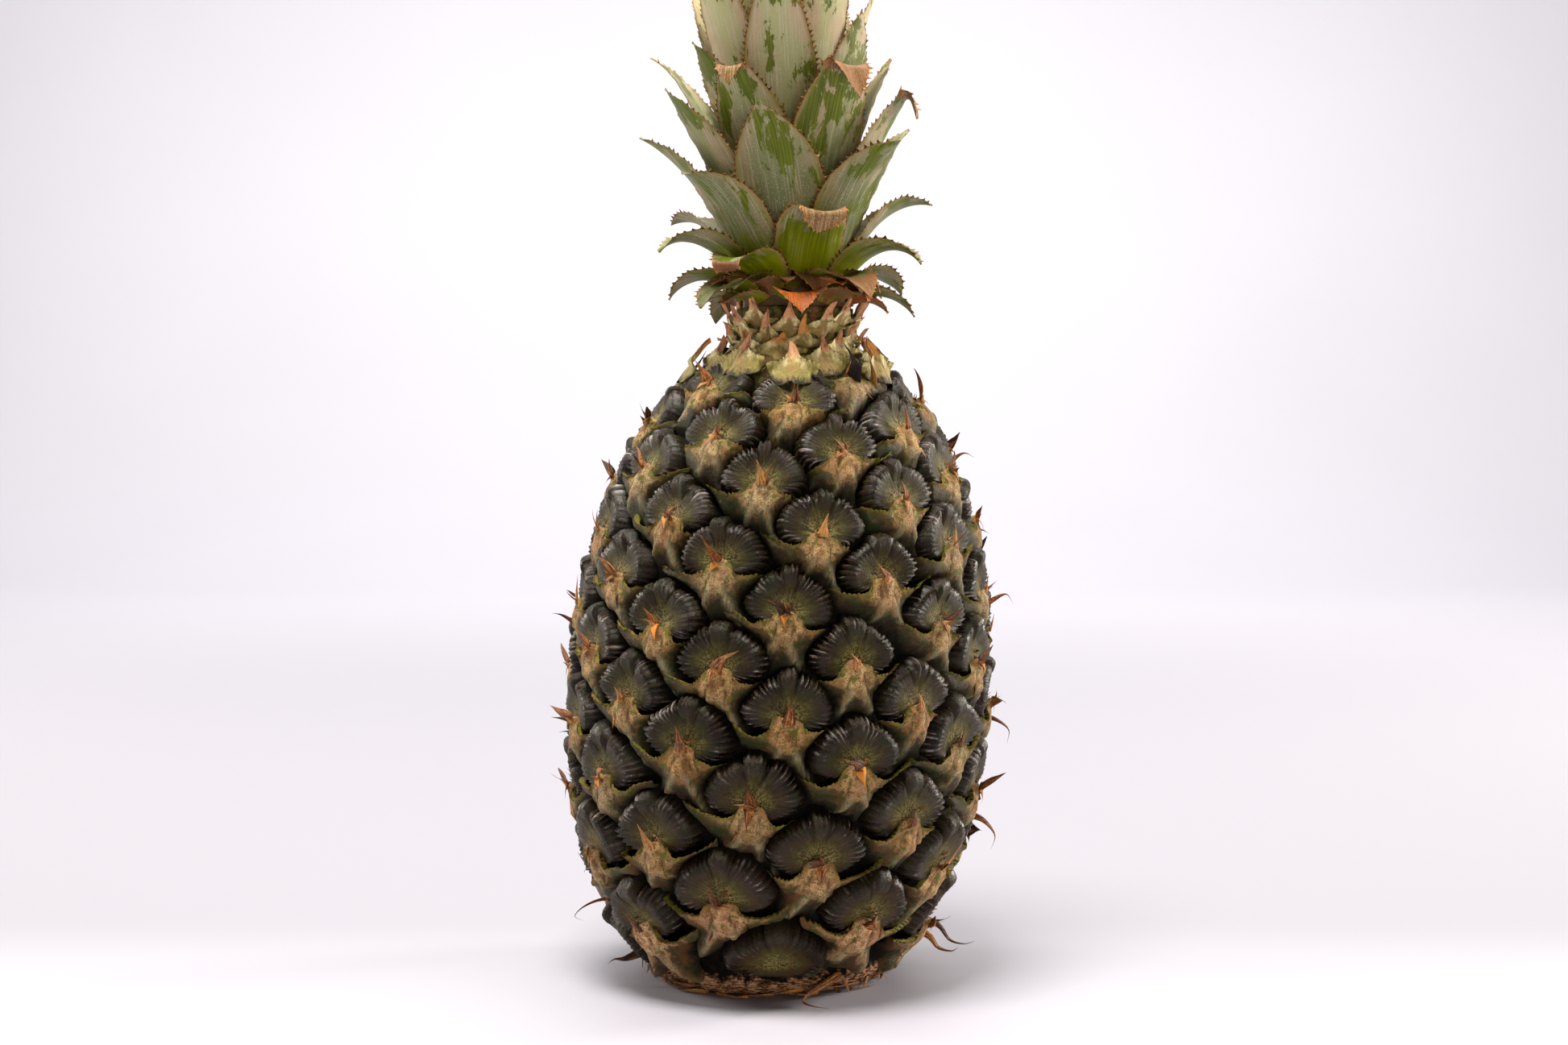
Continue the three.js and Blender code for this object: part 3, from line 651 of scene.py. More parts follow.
def add_spine(heap, eye, draw):
    """The dried spine on a bract: whole, or split into a hanging flap and a dark curl, with fibres."""
    sliver, path = partial(add_sliver, heap, eye.points), partial(bent_path, draw)
    pick, near = draw.uniform, draw.normal
    whole = pick() < WHOLE_SPINE_SHARE
    root = [near(0, 0.25), 3.8, 0.7]
    side = draw.choice([-1, 1])
    if whole:
        bent = path(
            pick(4.5, 8.5) * eye.size, pick(0.12, 0.5), near(0, 0.2), pick(-0.3, 0.6), near(0, 0.35)
        )
        sliver(bent, root, pick(2.2, 3.4), 1.1, pick(0.2, 0.85))
    else:
        bent = path(pick(2, 3.6), pick(0.5, 1), near(0, 0.5), 0.4, 0)
        sliver(bent, root, 3.2, 1.4, pick(0.2, 0.7))
        bent = path(pick(3, 5.2), 0.5, math.pi + near(0, 0.4), -0.7, 0)
        root = [near(0, 0.5), 4.6, 1.1]
        tint = pick(0.95, 1.3) if pick() < ORANGE_FLAP_SHARE else pick(0.4, 0.8)
        sliver(bent, root, pick(2.4, 3.6), 0.35, tint)
        bent = path(
            pick(5.5, 9.5), pick(0.4, 0.9), side * pick(0.2, 1.1), pick(-0.6, 0.2), side * pick(-0.2, 1)
        )
        root = [near(0, 0.4), 4.8, 0.9]
        sliver(bent, root, pick(2.4, 4), 0.6, pick(0.05, 0.5), side * pick(0.3, 1.6))
    for _ in range(draw.integers(0, 3)):
        bent = path(
            pick(3, 6.5), pick(0.5, 1.2), side * pick(0.2, 1.3), pick(-1.4, 0.4), side * pick(-0.5, 1.4)
        )
        root = [near(0, 0.8), pick(4, 5.4), 0.9]
        sliver(bent, root, pick(0.8, 2), 0.3, pick(0.05, 0.8), pick(-2, 2))
    for _ in range(draw.integers(2, 6)):
        bent = path(pick(1, 2.6), pick(0.2, 1.1), pick(-2, 2), 0, 1)
        root = [near(0.4, 1.1), pick(5, 7.6), -0.6]
        sliver(bent, root, 0.8, 0.35, pick(0, 0.75), sides=4)
    if pick() < SCAR_SHARE:
        side = draw.choice([-1, -1, 1])
        root = [side * pick(0.8, 3), pick(-2.6, -1), 0.25]
        bent = path(pick(2.6, 4.4), 0.05, math.pi - side * pick(0, 0.6), -0.3, 0)
        sliver(bent, root, 1.1, 0.7, pick(0.1, 0.75))


def neck_place(turn, length):
    """Gives points round the neck, which go straight on above its top."""
    def place(across, up, out):
        at = length + up
        above = np.maximum(at - TOP_LENGTH, 0)
        return fruit_points(turn + across / radius_at(at), np.minimum(at, TOP_LENGTH), out, above)
    return place


def add_neck_bract(heap, index, draw):
    """A small bract: a pointed tip over two wings, all free at the top and grown on at the bottom."""
    share = index / (NECK_BRACT_COUNT - 1)
    length = np.interp(mix(NECK_BRACT_Z, share), SIDE_Z, SIDE_LENGTH) + draw.normal(0, 0.7)
    place = neck_place(index * GOLDEN_TURN, length)
    scale = [draw.uniform(0.85, 1.15), draw.uniform(0.75, 1.1)]
    top = ragged_margin(draw, NECK_BRACT_UPPER, 0.25, NECK_BRACT_COLUMNS, scale)
    bottom = ragged_margin(draw, NECK_BRACT_LOWER, 0.4, NECK_BRACT_COLUMNS)
    top[:, 1] += teeth_along(draw, NECK_BRACT_COLUMNS, NECK_BRACT_TEETH)
    down = np.linspace(0, 1, NECK_BRACT_ROWS)[:, None] ** 1.3
    across, up = sheet_between(top, bottom, down)
    tip = smooth_step(0.8, 7, up)
    stand = 1.9 - 3.6 * down**0.7 + 0.8 * bump(across, 1.8) - 0.5 * (across / 7) ** 2
    stand = stand + 2.4 * smooth_step(0.3, 0, share) + draw.uniform(0.6, 2.6) * tip**1.6
    stand = stand + 0.3 * wobble(draw, across, up, 2.5)
    across = across + draw.normal(0, 0.8) * tip
    across, up, stand = with_under_row(across, up, stand, 0.4, 1.4)
    down = np.vstack([[[0]], down])
    heap.add(
        place(across, up, stand), grid_faces(len(down), NECK_BRACT_COLUMNS, flip=True),
        down=down, tip=smooth_step(0.4, 3.2, up), side=np.abs(across), own=draw.uniform(),
        grain=np.stack(np.broadcast_arrays(across, up, index * 7.0), -1),
    )


def crown_shift(z):
    return LEAN * NECK_TOP_Z + CROWN_LEAN * (z - NECK_TOP_Z)


class Leaf:
    """One crown leaf. Leaf 0 is the broad one in the middle of the front."""

    def __init__(self, number):
        above, below = max(number, 0), min(number, 0)
        change = LEAF_CHANGES.get(number, {})
        root_lean = 24 - 0.4 * above - 1.2 * below + 0.06 * below * below
        tip_lean = change.get("tip_lean", 45 - 1.5 * above - 9.5 * below)
        self.number = number
        self.turn = FRONT_LEAF_TURN - number * GOLDEN_TURN + change.get("turn", 0) * DEG
        self.swing = change.get("swing", 0) * DEG
        self.z = FRONT_LEAF_Z + above * HIGH_LEAF_SPACING + below * LOW_LEAF_SPACING
        self.length = LOW_LEAF_LENGTH + (LEAF_LENGTH - LOW_LEAF_LENGTH) * math.exp(below / 11) + 0.9 * above
        self.length += change.get("longer", 0)
        self.width = LEAF_WIDTH - 0.33 * above + 0.57 * below
        self.widest = 0.5 - 0.006 * above + 0.006 * below
        self.root_lean = min(root_lean, MOST_ROOT_LEAN) * DEG
        self.tip_lean = min(tip_lean, MOST_TIP_LEAN) * DEG
        self.bend = 4 if "tip_lean" in change else max(2.4 - 0.0049 * below * below, 1.2)
        self.fold = change.get("fold")
        self.bare = change.get("bare", [])
        self.dry_from = change.get("dry")
        self.own = change.get("own")
        self.dry = 0.0

    def line(self):
        """Distance from the axis, height and lean from upright along the middle line."""
        along = np.linspace(0, 1, LEAF_ROWS * LINE_PARTS + 1)
        lean = self.root_lean + (self.tip_lean - self.root_lean) * along**self.bend
        if self.fold:
            lean = lean + LEAF_FOLD * smooth_step(self.fold - 0.02, self.fold + 0.05, along)
        step = self.length / (LEAF_ROWS * LINE_PARTS)
        stem = float(np.interp(self.z, CROWN_STEM_Z, CROWN_STEM_RADIUS))
        start = stem + LEAF_ROOM + LEAF_THICKNESS / 2
        radius = start + np.concatenate([[0], np.cumsum(np.sin(lean[:-1]) * step)])
        z = self.z + np.concatenate([[0], np.cumsum(np.cos(lean[:-1]) * step)])
        self.along, self.lean, self.radius, self.height = (
            values[::LINE_PARTS] for values in (along, lean, radius, z)
        )

    def half_width(self, along, radius):
        low = 0.84 + 0.16 * np.sin(np.clip(along / self.widest, 0, 1) * (math.pi / 2))
        high = 1 - (np.clip(along - self.widest, 0, 1) / (1 - self.widest)) ** 1.7
        return np.minimum(self.width / 2 * np.where(along < self.widest, low, high), WIDEST_WRAP * radius)

    def points(self, along, across, face):
        """`across` runs from -1 to 1, `face` is 1 outside and -1 inside."""
        radius, z, lean = (np.interp(along, self.along, v) for v in (self.radius, self.height, self.lean))
        half = np.maximum(self.half_width(along, radius), 0.05)
        turn = self.turn + self.swing * along**2 + across * half / radius
        flat = np.clip(1 - across * across, 0, 1)
        thick = LEAF_THICKNESS / 2 * flat * (1 - 0.5 * along) * face
        wave = LEAF_WAVE * across * along * np.sin(FULL_TURN * 1.4 * along + self.turn)
        ripples = np.sin(along * self.length * 1.1 + 3 * across + self.turn * 5)
        channel = -LEAF_CHANNEL * half * across**2 * smooth_step(20 * DEG, 80 * DEG, lean)
        out = thick + wave + LEAF_RIPPLE * across**2 * ripples + channel
        radius = radius + out * np.cos(lean)
        z = z - out * np.sin(lean)
        return np.stack([crown_shift(z) + radius * np.sin(turn), -radius * np.cos(turn), z], -1)


def add_leaf(heap, leaf, draw, owns):
    leaf.line()
    along = np.linspace(0, 1, LEAF_ROWS + 1)[:, None]
    across = np.sin(np.linspace(-1, 1, LEAF_COLUMNS + 1) * math.pi / 2)
    own = draw.uniform(*owns)
    if leaf.own:
        own = leaf.own
    dry_from = leaf.dry_from or (leaf.fold - 0.05 if leaf.fold else draw.uniform(0.93, 1.02))
    half = leaf.half_width(along, np.interp(along, leaf.along, leaf.radius))
    bare = sum(np.exp(-(((across - a) / w) ** 2) - ((along - b) / h) ** 2) for a, b, w, h in leaf.bare)
    for face in (1, -1):
        heap.add(
            leaf.points(along, across, face),
            grid_faces(LEAF_ROWS + 1, LEAF_COLUMNS + 1, flip=face == -1),
            along=along, across=across, own=own, bare=bare, low=np.clip(-leaf.number / 12, 0, 1),
            dry=np.maximum(smooth_step(dry_from, dry_from + 0.08, along), leaf.dry),
            grain=np.stack(np.broadcast_arrays(across * half, along * leaf.length, own * 300.0), -1),
        )


def add_teeth(heap, leaf, draw):
    """Small spines along both margins, each with four corners."""
    places = np.arange(2.5, leaf.length * 0.96, TOOTH_SPACING)
    corners = [[0, 1, 3], [1, 2, 3], [2, 0, 3], [0, 2, 1]]
    faces = [[4 * i + corner for corner in face] for face in corners for i in range(len(places))]
    for side in (-1, 1):
        along = (places + draw.uniform(-0.25, 0.25, len(places))) / leaf.length
        reach = draw.uniform(0.8, 1.5, len(places)) * (0.6 + 0.4 * leaf.width / LEAF_WIDTH)
        radius = np.interp(along, leaf.along, leaf.radius)
        half = np.maximum(leaf.half_width(along, radius), 0.4)
        step = 0.55 / leaf.length
        teeth = np.stack([
            leaf.points(along - step, side * (1 - 0.25 / half), 1),
            leaf.points(along + step, side * (1 - 0.25 / half), 1),
            leaf.points(along, side * (1 - 0.2 / half), -1),
            leaf.points(along + 1.2 * step, side * (1 + reach / half), 0),
        ], 1)
        heap.add(teeth, faces, tint=draw.uniform(0.62, 0.76, (len(places), 1)), grain=teeth * 0.5)


# Materials


def tone(colour):
    """A screen colour as the shader's linear values."""
    parts = [part / 255 for part in colour]
    return [c / 12.92 if c <= 0.04045 else ((c + 0.055) / 1.055) ** 2.4 for c in parts] + [1]


def connect(tree, node, values):
    for socket, value in values.items():
        if isinstance(value, Node):
            tree.links.new(value.socket, node.inputs[socket])
        else:
            node.inputs[socket].default_value = value


class Node:
    """The output of a new shader node. Sums and products with it make further nodes."""

    def __init__(self, tree, kind, values, output=0, **settings):
        node = tree.nodes.new("ShaderNode" + kind)
        for name, value in settings.items():
            setattr(node, name, value)
        connect(tree, node, values)
        self.tree = tree
        self.socket = node.outputs[output]

    def math(self, operation, a, b=0.0, clamp=False):
        return Node(self.tree, "Math", {0: a, 1: b}, operation=operation, use_clamp=clamp)

    def __add__(self, other):
        return self.math("ADD", self, other)

    def __sub__(self, other):
        return self.math("SUBTRACT", self, other)

    def __rsub__(self, other):
        return self.math("SUBTRACT", other, self)

    def __mul__(self, other):
        return self.math("MULTIPLY", self, other)

    def __abs__(self):
        return self.math("ABSOLUTE", self)

    def at_least(self, least):
        return self.math("MAXIMUM", self, least)

    def plus_up_to_one(self, other):
        return self.math("ADD", self, other, clamp=True)

    def span(self, low, high, to=(0, 1)):
        """A smooth run from `to[0]` where this is `low` to `to[1]` where it is `high`."""
        ends = {"From Min": low, "From Max": high, "To Min": to[0], "To Max": to[1]}
        settings = {"interpolation_type": "SMOOTHSTEP"}
        return Node(self.tree, "MapRange", {"Value": self, **ends}, "Result", **settings)

    def mix(self, a, b):
        """Colour `a` where this is 0 and `b` where it is 1, each a node or a screen colour."""
        a, b = (colour if isinstance(colour, Node) else tone(colour) for colour in (a, b))
        return Node(self.tree, "Mix", {0: self, 6: a, 7: b}, 2, data_type="RGBA")


class Look:
    """A material made of nodes, with places in millimetres."""

    def __init__(self, name, specular=0.5):
        self.material = bpy.data.materials.new(name)
        self.material.use_nodes = True
        self.tree = self.material.node_tree
        self.shader = self.tree.nodes["Principled BSDF"]
        self.shader.inputs["Specular IOR Level"].default_value = specular
        self.place = self.scaled(Node(self.tree, "TexCoord", {}, "Object"), (1000, 1000, 1000))

    def mark(self, name, output="Fac"):
        return Node(self.tree, "Attribute", {}, output, attribute_name=name)

    def marks(self, *names):
        return (self.mark(name) for name in names)

    def axis(self, name):
        return Node(self.tree, "SeparateXYZ", {0: self.place}, name)

    def scaled(self, vector, by):
        return Node(self.tree, "VectorMath", {0: vector, 1: by}, operation="MULTIPLY")

    def noise(self, size, detail=3, rough=0.55, distort=0, vector=None):
        values = {"Scale": 1 / size, "Detail": detail, "Roughness": rough, "Distortion": distort}
        return Node(self.tree, "TexNoise", {"Vector": vector or self.place, **values}, "Fac")

    def grain(self, across, along, detail=3, rough=0.55, distort=0):
        """Noise drawn out along the piece's own lines, at paces per millimetre."""
        vector = self.scaled(self.mark("grain", "Vector"), (across, along, 1))
        return self.noise(1, detail, rough, distort, vector)

    def finish(self, colour, rough, height=None, depth=0.1):
        """`depth` is the bump's height in millimetres."""
        values = {"Base Color": colour, "Roughness": rough}
        if height:
            values["Normal"] = Node(self.tree, "Bump", {"Height": height, "Distance": depth * MM}, "Normal")
        connect(self.tree, self.shader, values)
        return self.material


def dome_look():
    look = Look("dome_skin", 0.23)
    share, crest, shine = look.marks("share", "crest", "shine")
    streak, fine = look.grain(1.3, 0.3, 4), look.noise(0.5, 4, 0.7)
    colour = look.noise(6).span(0.42, 0.58).mix((38, 21, 11), (30, 27, 4))
    colour = look.axis("Z").span(75, 10, (0, 0.5)).mix(colour, (68, 42, 13))
    colour = (share.span(0.8, 0.3) * look.noise(4).span(0.3, 0.6)).mix(colour, (58, 52, 10))
    colour = (streak.span(0.5, 0.66) * share.span(0.85, 0.4) * 0.35).mix(colour, (88, 76, 36))
    mottle = look.noise(1.7, 4, 0.65).span(0.52, 0.62) * share.span(0.72, 0.35) * 0.55
    colour = mottle.mix(colour, (78, 82, 38))
    near = share.span(0.55, 0.08) * (fine + streak * 0.5).span(0.7, 0.84)
    colour = near.mix(colour, (144, 130, 76))
    murk = look.noise(3).span(0.42, 0.58).mix((32, 20, 13), (24, 26, 6))
    colour = share.span(0.56, 0.8, (0, 0.65)).mix(colour, murk)
    # Painted highlight on the rib crests, and painted shade, near-black, in the rib valleys
    colour = (crest.span(0.1, 0.9) * 0.3).mix(colour, (88, 66, 56))
    colour = (crest.span(-0.1, -0.9) * 0.7).mix(colour, (12, 8, 7))
    # Painted highlights: pale bluish dashes on the rib crests of the outer ring, weaker on low domes
    shine = shine * look.axis("Z").span(20, 70, (0.6, 1))
    painted_glint = look.grain(0.36, 0.5, 3, 0.65) + (shine - 0.4) * 0.2
    painted_glint = painted_glint.span(0.48, 0.64) * crest.span(-0.1, 0.6) * share.span(0.42, 0.66) * 0.8
    colour = painted_glint.mix(colour, streak.span(0.4, 0.6).mix((116, 94, 84), (172, 160, 160)))
    # Painted shade: the dome's edge near-black where it turns down into the groove
    colour = share.span(0.95, 1.02).mix(colour, (10, 7, 4))
    colour = (look.noise(0.28, 2, 0.7).span(0.7, 0.76) * 0.8).mix(colour, (190, 170, 120))
    rough = share.span(0.5, 0.8, (0.34, 0)) + look.noise(1.1).span(0.3, 0.7, (0.22, 0.36))
    rough = rough.plus_up_to_one(share.span(0.97, 1.03, (0, 0.5)))
    return look.finish(colour, rough, streak * 0.5 + fine + crest * 0.8, 0.3)


def bract_look():
    look = Look("bract_skin", 0.25)
    own, star, arm, ridge = look.marks("own", "star", "arm", "ridge")
    web, edge, deep, crease = look.marks("web", "edge", "deep", "crease")
    blotch, wide, fine = look.noise(2.2, 4, 0.6), look.noise(5, 2), look.noise(0.42, 4, 0.7)
    fibre, streak = look.grain(0.35, 1.5), look.grain(1.6, 0.3)
    soft, hard = blotch.span(0.38, 0.62), blotch.span(0.4, 0.6)
    up = look.axis("Z")
    flank = wide.span(0.44, 0.55).mix(up.span(75, 10).mix((46, 32, 13), (102, 62, 25)), (36, 44, 8))
    tan = soft.mix((196, 160, 104), (146, 106, 60))
    tan = own.span(0.55, 0.95, (0, 0.75)).mix(tan, soft.mix((184, 160, 116), (124, 100, 64)))
    tan = own.span(0.3, 0.05, (0, 0.7)).mix(tan, hard.mix((176, 132, 76), (124, 78, 36)))
    tan = (up.span(45, 5) * 0.8).mix(tan, hard.mix((246, 202, 154), (188, 132, 88)))
    tan = (fine.span(0.5, 0.6) * 0.85).mix(tan, (74, 50, 20))
    tan = wide.span(0.54, 0.66, (0, 0.6)).mix(tan, (160, 112, 82))
    flank = (fibre.span(0.5, 0.64) * 0.6).mix(flank, (74, 62, 36))
    flank = (arm.span(0.15, 0.85) * fine.span(0.34, 0.6)).mix(flank, (84, 82, 28))
    patch = star + (blotch - 0.5) * 1.3
    colour = patch.span(0.06, 0.34).mix(flank, (80, 62, 30))
    colour = patch.span(0.26, 0.5).mix(colour, tan)
    colour = (web * fine.span(0.35, 0.6) * 0.8).mix(colour, (34, 26, 14))
    groove = blotch.span(0.45, 0.55).mix((56, 60, 8), (48, 28, 12))
    colour = (crease * streak.span(0.38, 0.5) * 0.85).mix(colour, groove)
    # Leg ridges: a pale streak, partly the ridge's own colour and partly painted highlight
    colour = (ridge * streak.span(0.34, 0.54) * 0.85).mix(colour, (146, 144, 108))
    green = look.noise(2.8, 2).span(0.6, 0.66) * star.span(0.1, 0.4) * 0.8
    colour = green.mix(colour, (84, 92, 8))
    rim = look.noise(3.2, 2).span(0.42, 0.58).mix((122, 122, 30), (148, 120, 56))
    colour = (edge * fine.span(0.3, 0.5)).mix(colour, rim)
    colour = (look.noise(0.28, 2, 0.7).span(0.7, 0.76) * 0.7).mix(colour, (196, 176, 126))
    # Painted shade: the low parts of the sheet near-black
    colour = deep.mix(colour, (12, 8, 4))
    rough = star.span(0.1, 0.6, (0.38, 0.6)).plus_up_to_one(deep.span(0, 0.8, (0, 0.5)))
    return look.finish(colour, rough, blotch * 0.7 + fine * 1.3, 0.45)


def dry_look():
    look = Look("dried_tip", 0.3)
    fibre, fine = look.grain(3, 0.2, 4, 0.65), look.noise(0.6, 3, 0.65)
    value = look.mark("tint") + (fibre + fine * 0.4 - 0.7) * 2.3
    colour = value.span(0, 0.28).mix((26, 16, 8), (104, 54, 16))
    colour = value.span(0.28, 0.55).mix(colour, (160, 94, 30))
    colour = value.span(0.56, 0.74).mix(colour, (178, 138, 84))
    colour = value.span(0.86, 1).mix(colour, (226, 136, 14))
    return look.finish(colour, 0.55, fibre * 1.6 + fine, 0.35)


def groove_look():
    look = Look("groove_floor", 0.1)
    neck, rim = look.marks("neck", "rim")
    blotch = look.noise(2, 4)
    # Painted shade: the groove floor near-black, paler only towards the neck and at the torn rim
    colour = blotch.span(0.4, 0.7).mix((9, 6, 4), (24, 18, 9))
    pale = blotch.span(0.42, 0.56).mix((96, 92, 48), (50, 46, 22))
    pale = look.noise(4).span(0.52, 0.64).mix(pale, (118, 78, 52))
    colour = neck.mix(colour, pale)
    torn = look.noise(1, 4, 0.65, vector=look.scaled(look.place, (0.5, 0.5, 2.4)))
    torn = torn.span(0.42, 0.6).mix((64, 38, 22), (176, 132, 98))
    colour = (rim + blotch * 1.4).span(1.25, 1.6).mix(colour, torn)
    return look.finish(colour, 0.85, look.noise(0.8), 0.4)


def neck_look():
    look = Look("neck_bract_skin", 0.35)
    down, tip, side, own = look.marks("down", "tip", "side", "own")
    fine, blotch, streak = look.noise(0.5, 3, 0.7), look.noise(2.4), look.grain(0.9, 0.45, 4)
    pale = streak.span(0.4, 0.62).mix((248, 230, 178), (214, 198, 130))
    pale = look.axis("Z").span(181, 169, (0, 0.75)).mix(pale, (172, 156, 100))
    below = blotch.span(0.42, 0.58).mix((144, 134, 66), (180, 130, 88))
    value = down + (streak - 0.5) * 0.7
    colour = value.span(0.18, 0.5).mix(pale, below)
    wing = streak.span(0.45, 0.6).mix((136, 126, 60), (184, 164, 94))
    colour = (side + blotch * 5).span(4.6, 7.6, (0, 0.92)).mix(colour, wing)
    colour = (blotch.span(0.5, 0.6) * value.span(0.1, 0.4) * 0.6).mix(colour, (124, 128, 62))
    pink = own.span(0.6, 0.8).mix((226, 168, 124), (226, 158, 84))
    pink = streak.span(0.5, 0.7).mix(pink, (142, 92, 62))
    colour = (tip + fine * 0.3).span(0.35, 0.95).mix(colour, pink)
    colour = (fine.span(0.54, 0.68) * 0.4).mix(colour, (92, 72, 36))
    # Painted shade: each bract turns dark towards its grown-on bottom
    colour = value.span(0.7, 1).mix(colour, (44, 38, 18))
    return look.finish(colour, 0.55, streak + fine, 0.4)


def leaf_look():
    look = Look("leaf_skin", 0.2)
    along, across, dry, low, own, bare = look.marks("along", "across", "dry", "low", "own", "bare")
    streak, wide = look.grain(2.4, 0.06, 4), look.grain(0.16, 0.05, 2)
    blotch, fine = look.grain(0.2, 0.085, 6, 0.7, 0.3), look.noise(0.45, 4, 0.75)
    lilac = (abs(across) + (wide - 0.5) * 2.4).span(0.15, 0.85)
    bloom = lilac.mix((101, 107, 68), (129, 119, 85))
    bloom = look.axis("Z").span(212, 290).mix(bloom, lilac.mix((184, 182, 132), (194, 168, 138)))
    bloom = (streak.span(0.5, 0.66) * 0.4).mix(bloom, (196, 190, 166))
    bloom = (fine.span(0.54, 0.66) * 0.5).mix(bloom, (200, 194, 168))
    shade = (1 - along * 2.2).at_least(0)
    green = streak.span(0.35, 0.65).mix((64, 78, 0), (104, 114, 2))
    green = (low * shade).mix(green, (140, 142, 0))
    blotch = blotch + along.span(0.45, 1) * 0.08 + bare * 0.17
    rubbed = blotch.span(0.57, 0.6).plus_up_to_one(fine.span(0.56, 0.64) * blotch.span(0.5, 0.57))
    colour = (rubbed * 0.97).mix(bloom, green)
    near = low * 0.9 - along * 1.7 + (blotch - 0.5) * 1.2
    colour = (near.span(-0.3, 0.3) * 0.95).mix(colour, green)
    rim = abs(across) + (fine - 0.5) * 0.12
    colour = (rim.span(0.8, 0.93) * 0.5).mix(colour, (128, 124, 56))
    colour = rim.span(0.9, 0.96).mix(colour, (142, 116, 68))
    dried = own.span(0.35, 0.45).mix((160, 134, 92), (148, 112, 78))
    dried = (low.span(0.8, 1) * own.span(0.1, 0.5, (0.6, 1))).mix(dried, (124, 80, 54))
    dried = own.span(0.76, 0.82).mix(dried, (186, 90, 22))
    dried = rim.span(0.76, 0.95, (0, 0.7)).mix(dried, (176, 112, 54))
    dried = ((fine * 0.5 + streak * 0.5).span(0.42, 0.56) * 0.85).mix(dried, (104, 66, 36))
    edge = dry + (fine + blotch - 1) * 0.9
    colour = edge.span(0.4, 0.56).mix(colour, dried)
    return look.finish(colour, rubbed.span(0, 1, (0.52, 0.34)), streak + fine * 0.7, 0.14)


def stem_look():
    look = Look("crown_stem_skin")
    colour = look.noise(3, 4).span(0.4, 0.65).mix((92, 78, 40), (120, 84, 56))
    return look.finish(colour, 0.7, look.noise(0.8), 0.3)


def floor_look():
    look = Look("pale_floor")
    patches, back = look.noise(300, 2), look.axis("Y")
    # Painted light and shade: the floor lighter in front of the fruit, darker behind it and lighter again
    # towards the backdrop, evening out how the lamps fall on it
    near = patches.mix((176, 174, 187), (180, 178, 191))
    far = patches.mix((163, 161, 174), (167, 165, 178))
    colour = back.span(-90, 70).mix(near, (143, 142, 154))
    colour = back.span(600, 1600).mix(colour, far)
    return look.finish(colour, 0.6)


# Pieces


def add_grooves(heap):
    """The skin at the bottom of the grooves, closed by the cut base and the neck's top; its look paints it
    near-black as shade.
    """
    length = np.linspace(0, TOP_LENGTH, GROOVE_ROWS)[:, None]
    turn = np.linspace(0, FULL_TURN, GROOVE_COLUMNS + 1)[:-1]
    z = np.interp(length, SIDE_LENGTH, SIDE_Z)
    neck = smooth_step(166, 175, z)
    rim = smooth_step(7, 2, z)
    out = -GROOVE_FLOOR * (1 - neck) * (1 - 0.8 * rim) - 0.4 * neck
    ragged = np.sin(9 * turn) * np.sin(23 * turn + 1) + 0.6 * np.sin(57 * turn + z)
    grid = fruit_points(turn, length, out + 0.5 * ragged * rim * (length > 0))
    faces = grid_faces(GROOVE_ROWS, GROOVE_COLUMNS, closed=True)
    base = list(range(GROOVE_COLUMNS))[::-1]
    top = [(GROOVE_ROWS - 1) * GROOVE_COLUMNS + i for i in range(GROOVE_COLUMNS)]
    heap.add(grid, faces + [base, top], neck=neck, rim=rim)


def side_place(turn, length):
    """Gives points at steps across, up and out from a place on the side."""
    def place(across, up, out):
        return fruit_points(turn + across / radius_at(length), length + up, out)
    return place


def add_base_fibres(heap, draw):
    """Ragged slivers that hang from the rim of the cut base."""
    pick, near = draw.uniform, draw.normal
    for turn in np.arange(0, FULL_TURN, BASE_FIBRE_STEP):
        place = side_place(turn + near(0, 2.5) * DEG, pick(0.5, 5))
        path = bent_path(
            draw, pick(3, 8), pick(0.2, 0.9), math.pi + near(0, 0.7), pick(-1, 0.6), near(0, 0.9)
        )
        add_sliver(heap, place, path, [0, 0, -1.5], pick(0.6, 3), 0.4, pick(0.1, 0.75), pick(-1.5, 1.5))


def add_rim_skin(heap, draw):
    """Torn strips of skin that run round the rim of the cut base."""
    pick, near = draw.uniform, draw.normal
    for turn in np.arange(0, FULL_TURN, RIM_SKIN_STEP):
        place = side_place(turn + near(0, 3) * DEG, RIM_SKIN_LENGTH)
        length = pick(8, 17)
        aside = draw.choice([-1, 1]) * (math.pi / 2 + near(0, 0.08))
        path = bent_path(draw, length, 0.05, aside, near(0, 0.2), near(0, 0.25), 14)
        root = [0, pick(-1.6, 0.2), pick(-1.2, 0.2)]
        add_sliver(heap, place, path, root, pick(1.4, 3), 0.5, pick(0.4, 0.8), pick(-1, 1))


def add_long_fibres(heap):
    """Curled fibres that stand out from the fruit."""
    def place(across, up, out):
        return np.stack([across, -out, up], -1)

    for points, width, tint in LONG_FIBRES:
        path = smooth_curve(points, np.linspace(0, len(points) - 1, LONG_FIBRE_POINTS))
        size = width, LONG_FIBRE_THICKNESS, tint, LONG_FIBRE_TWIST
        add_sliver(heap, place, path - path[0], path[0], *size)


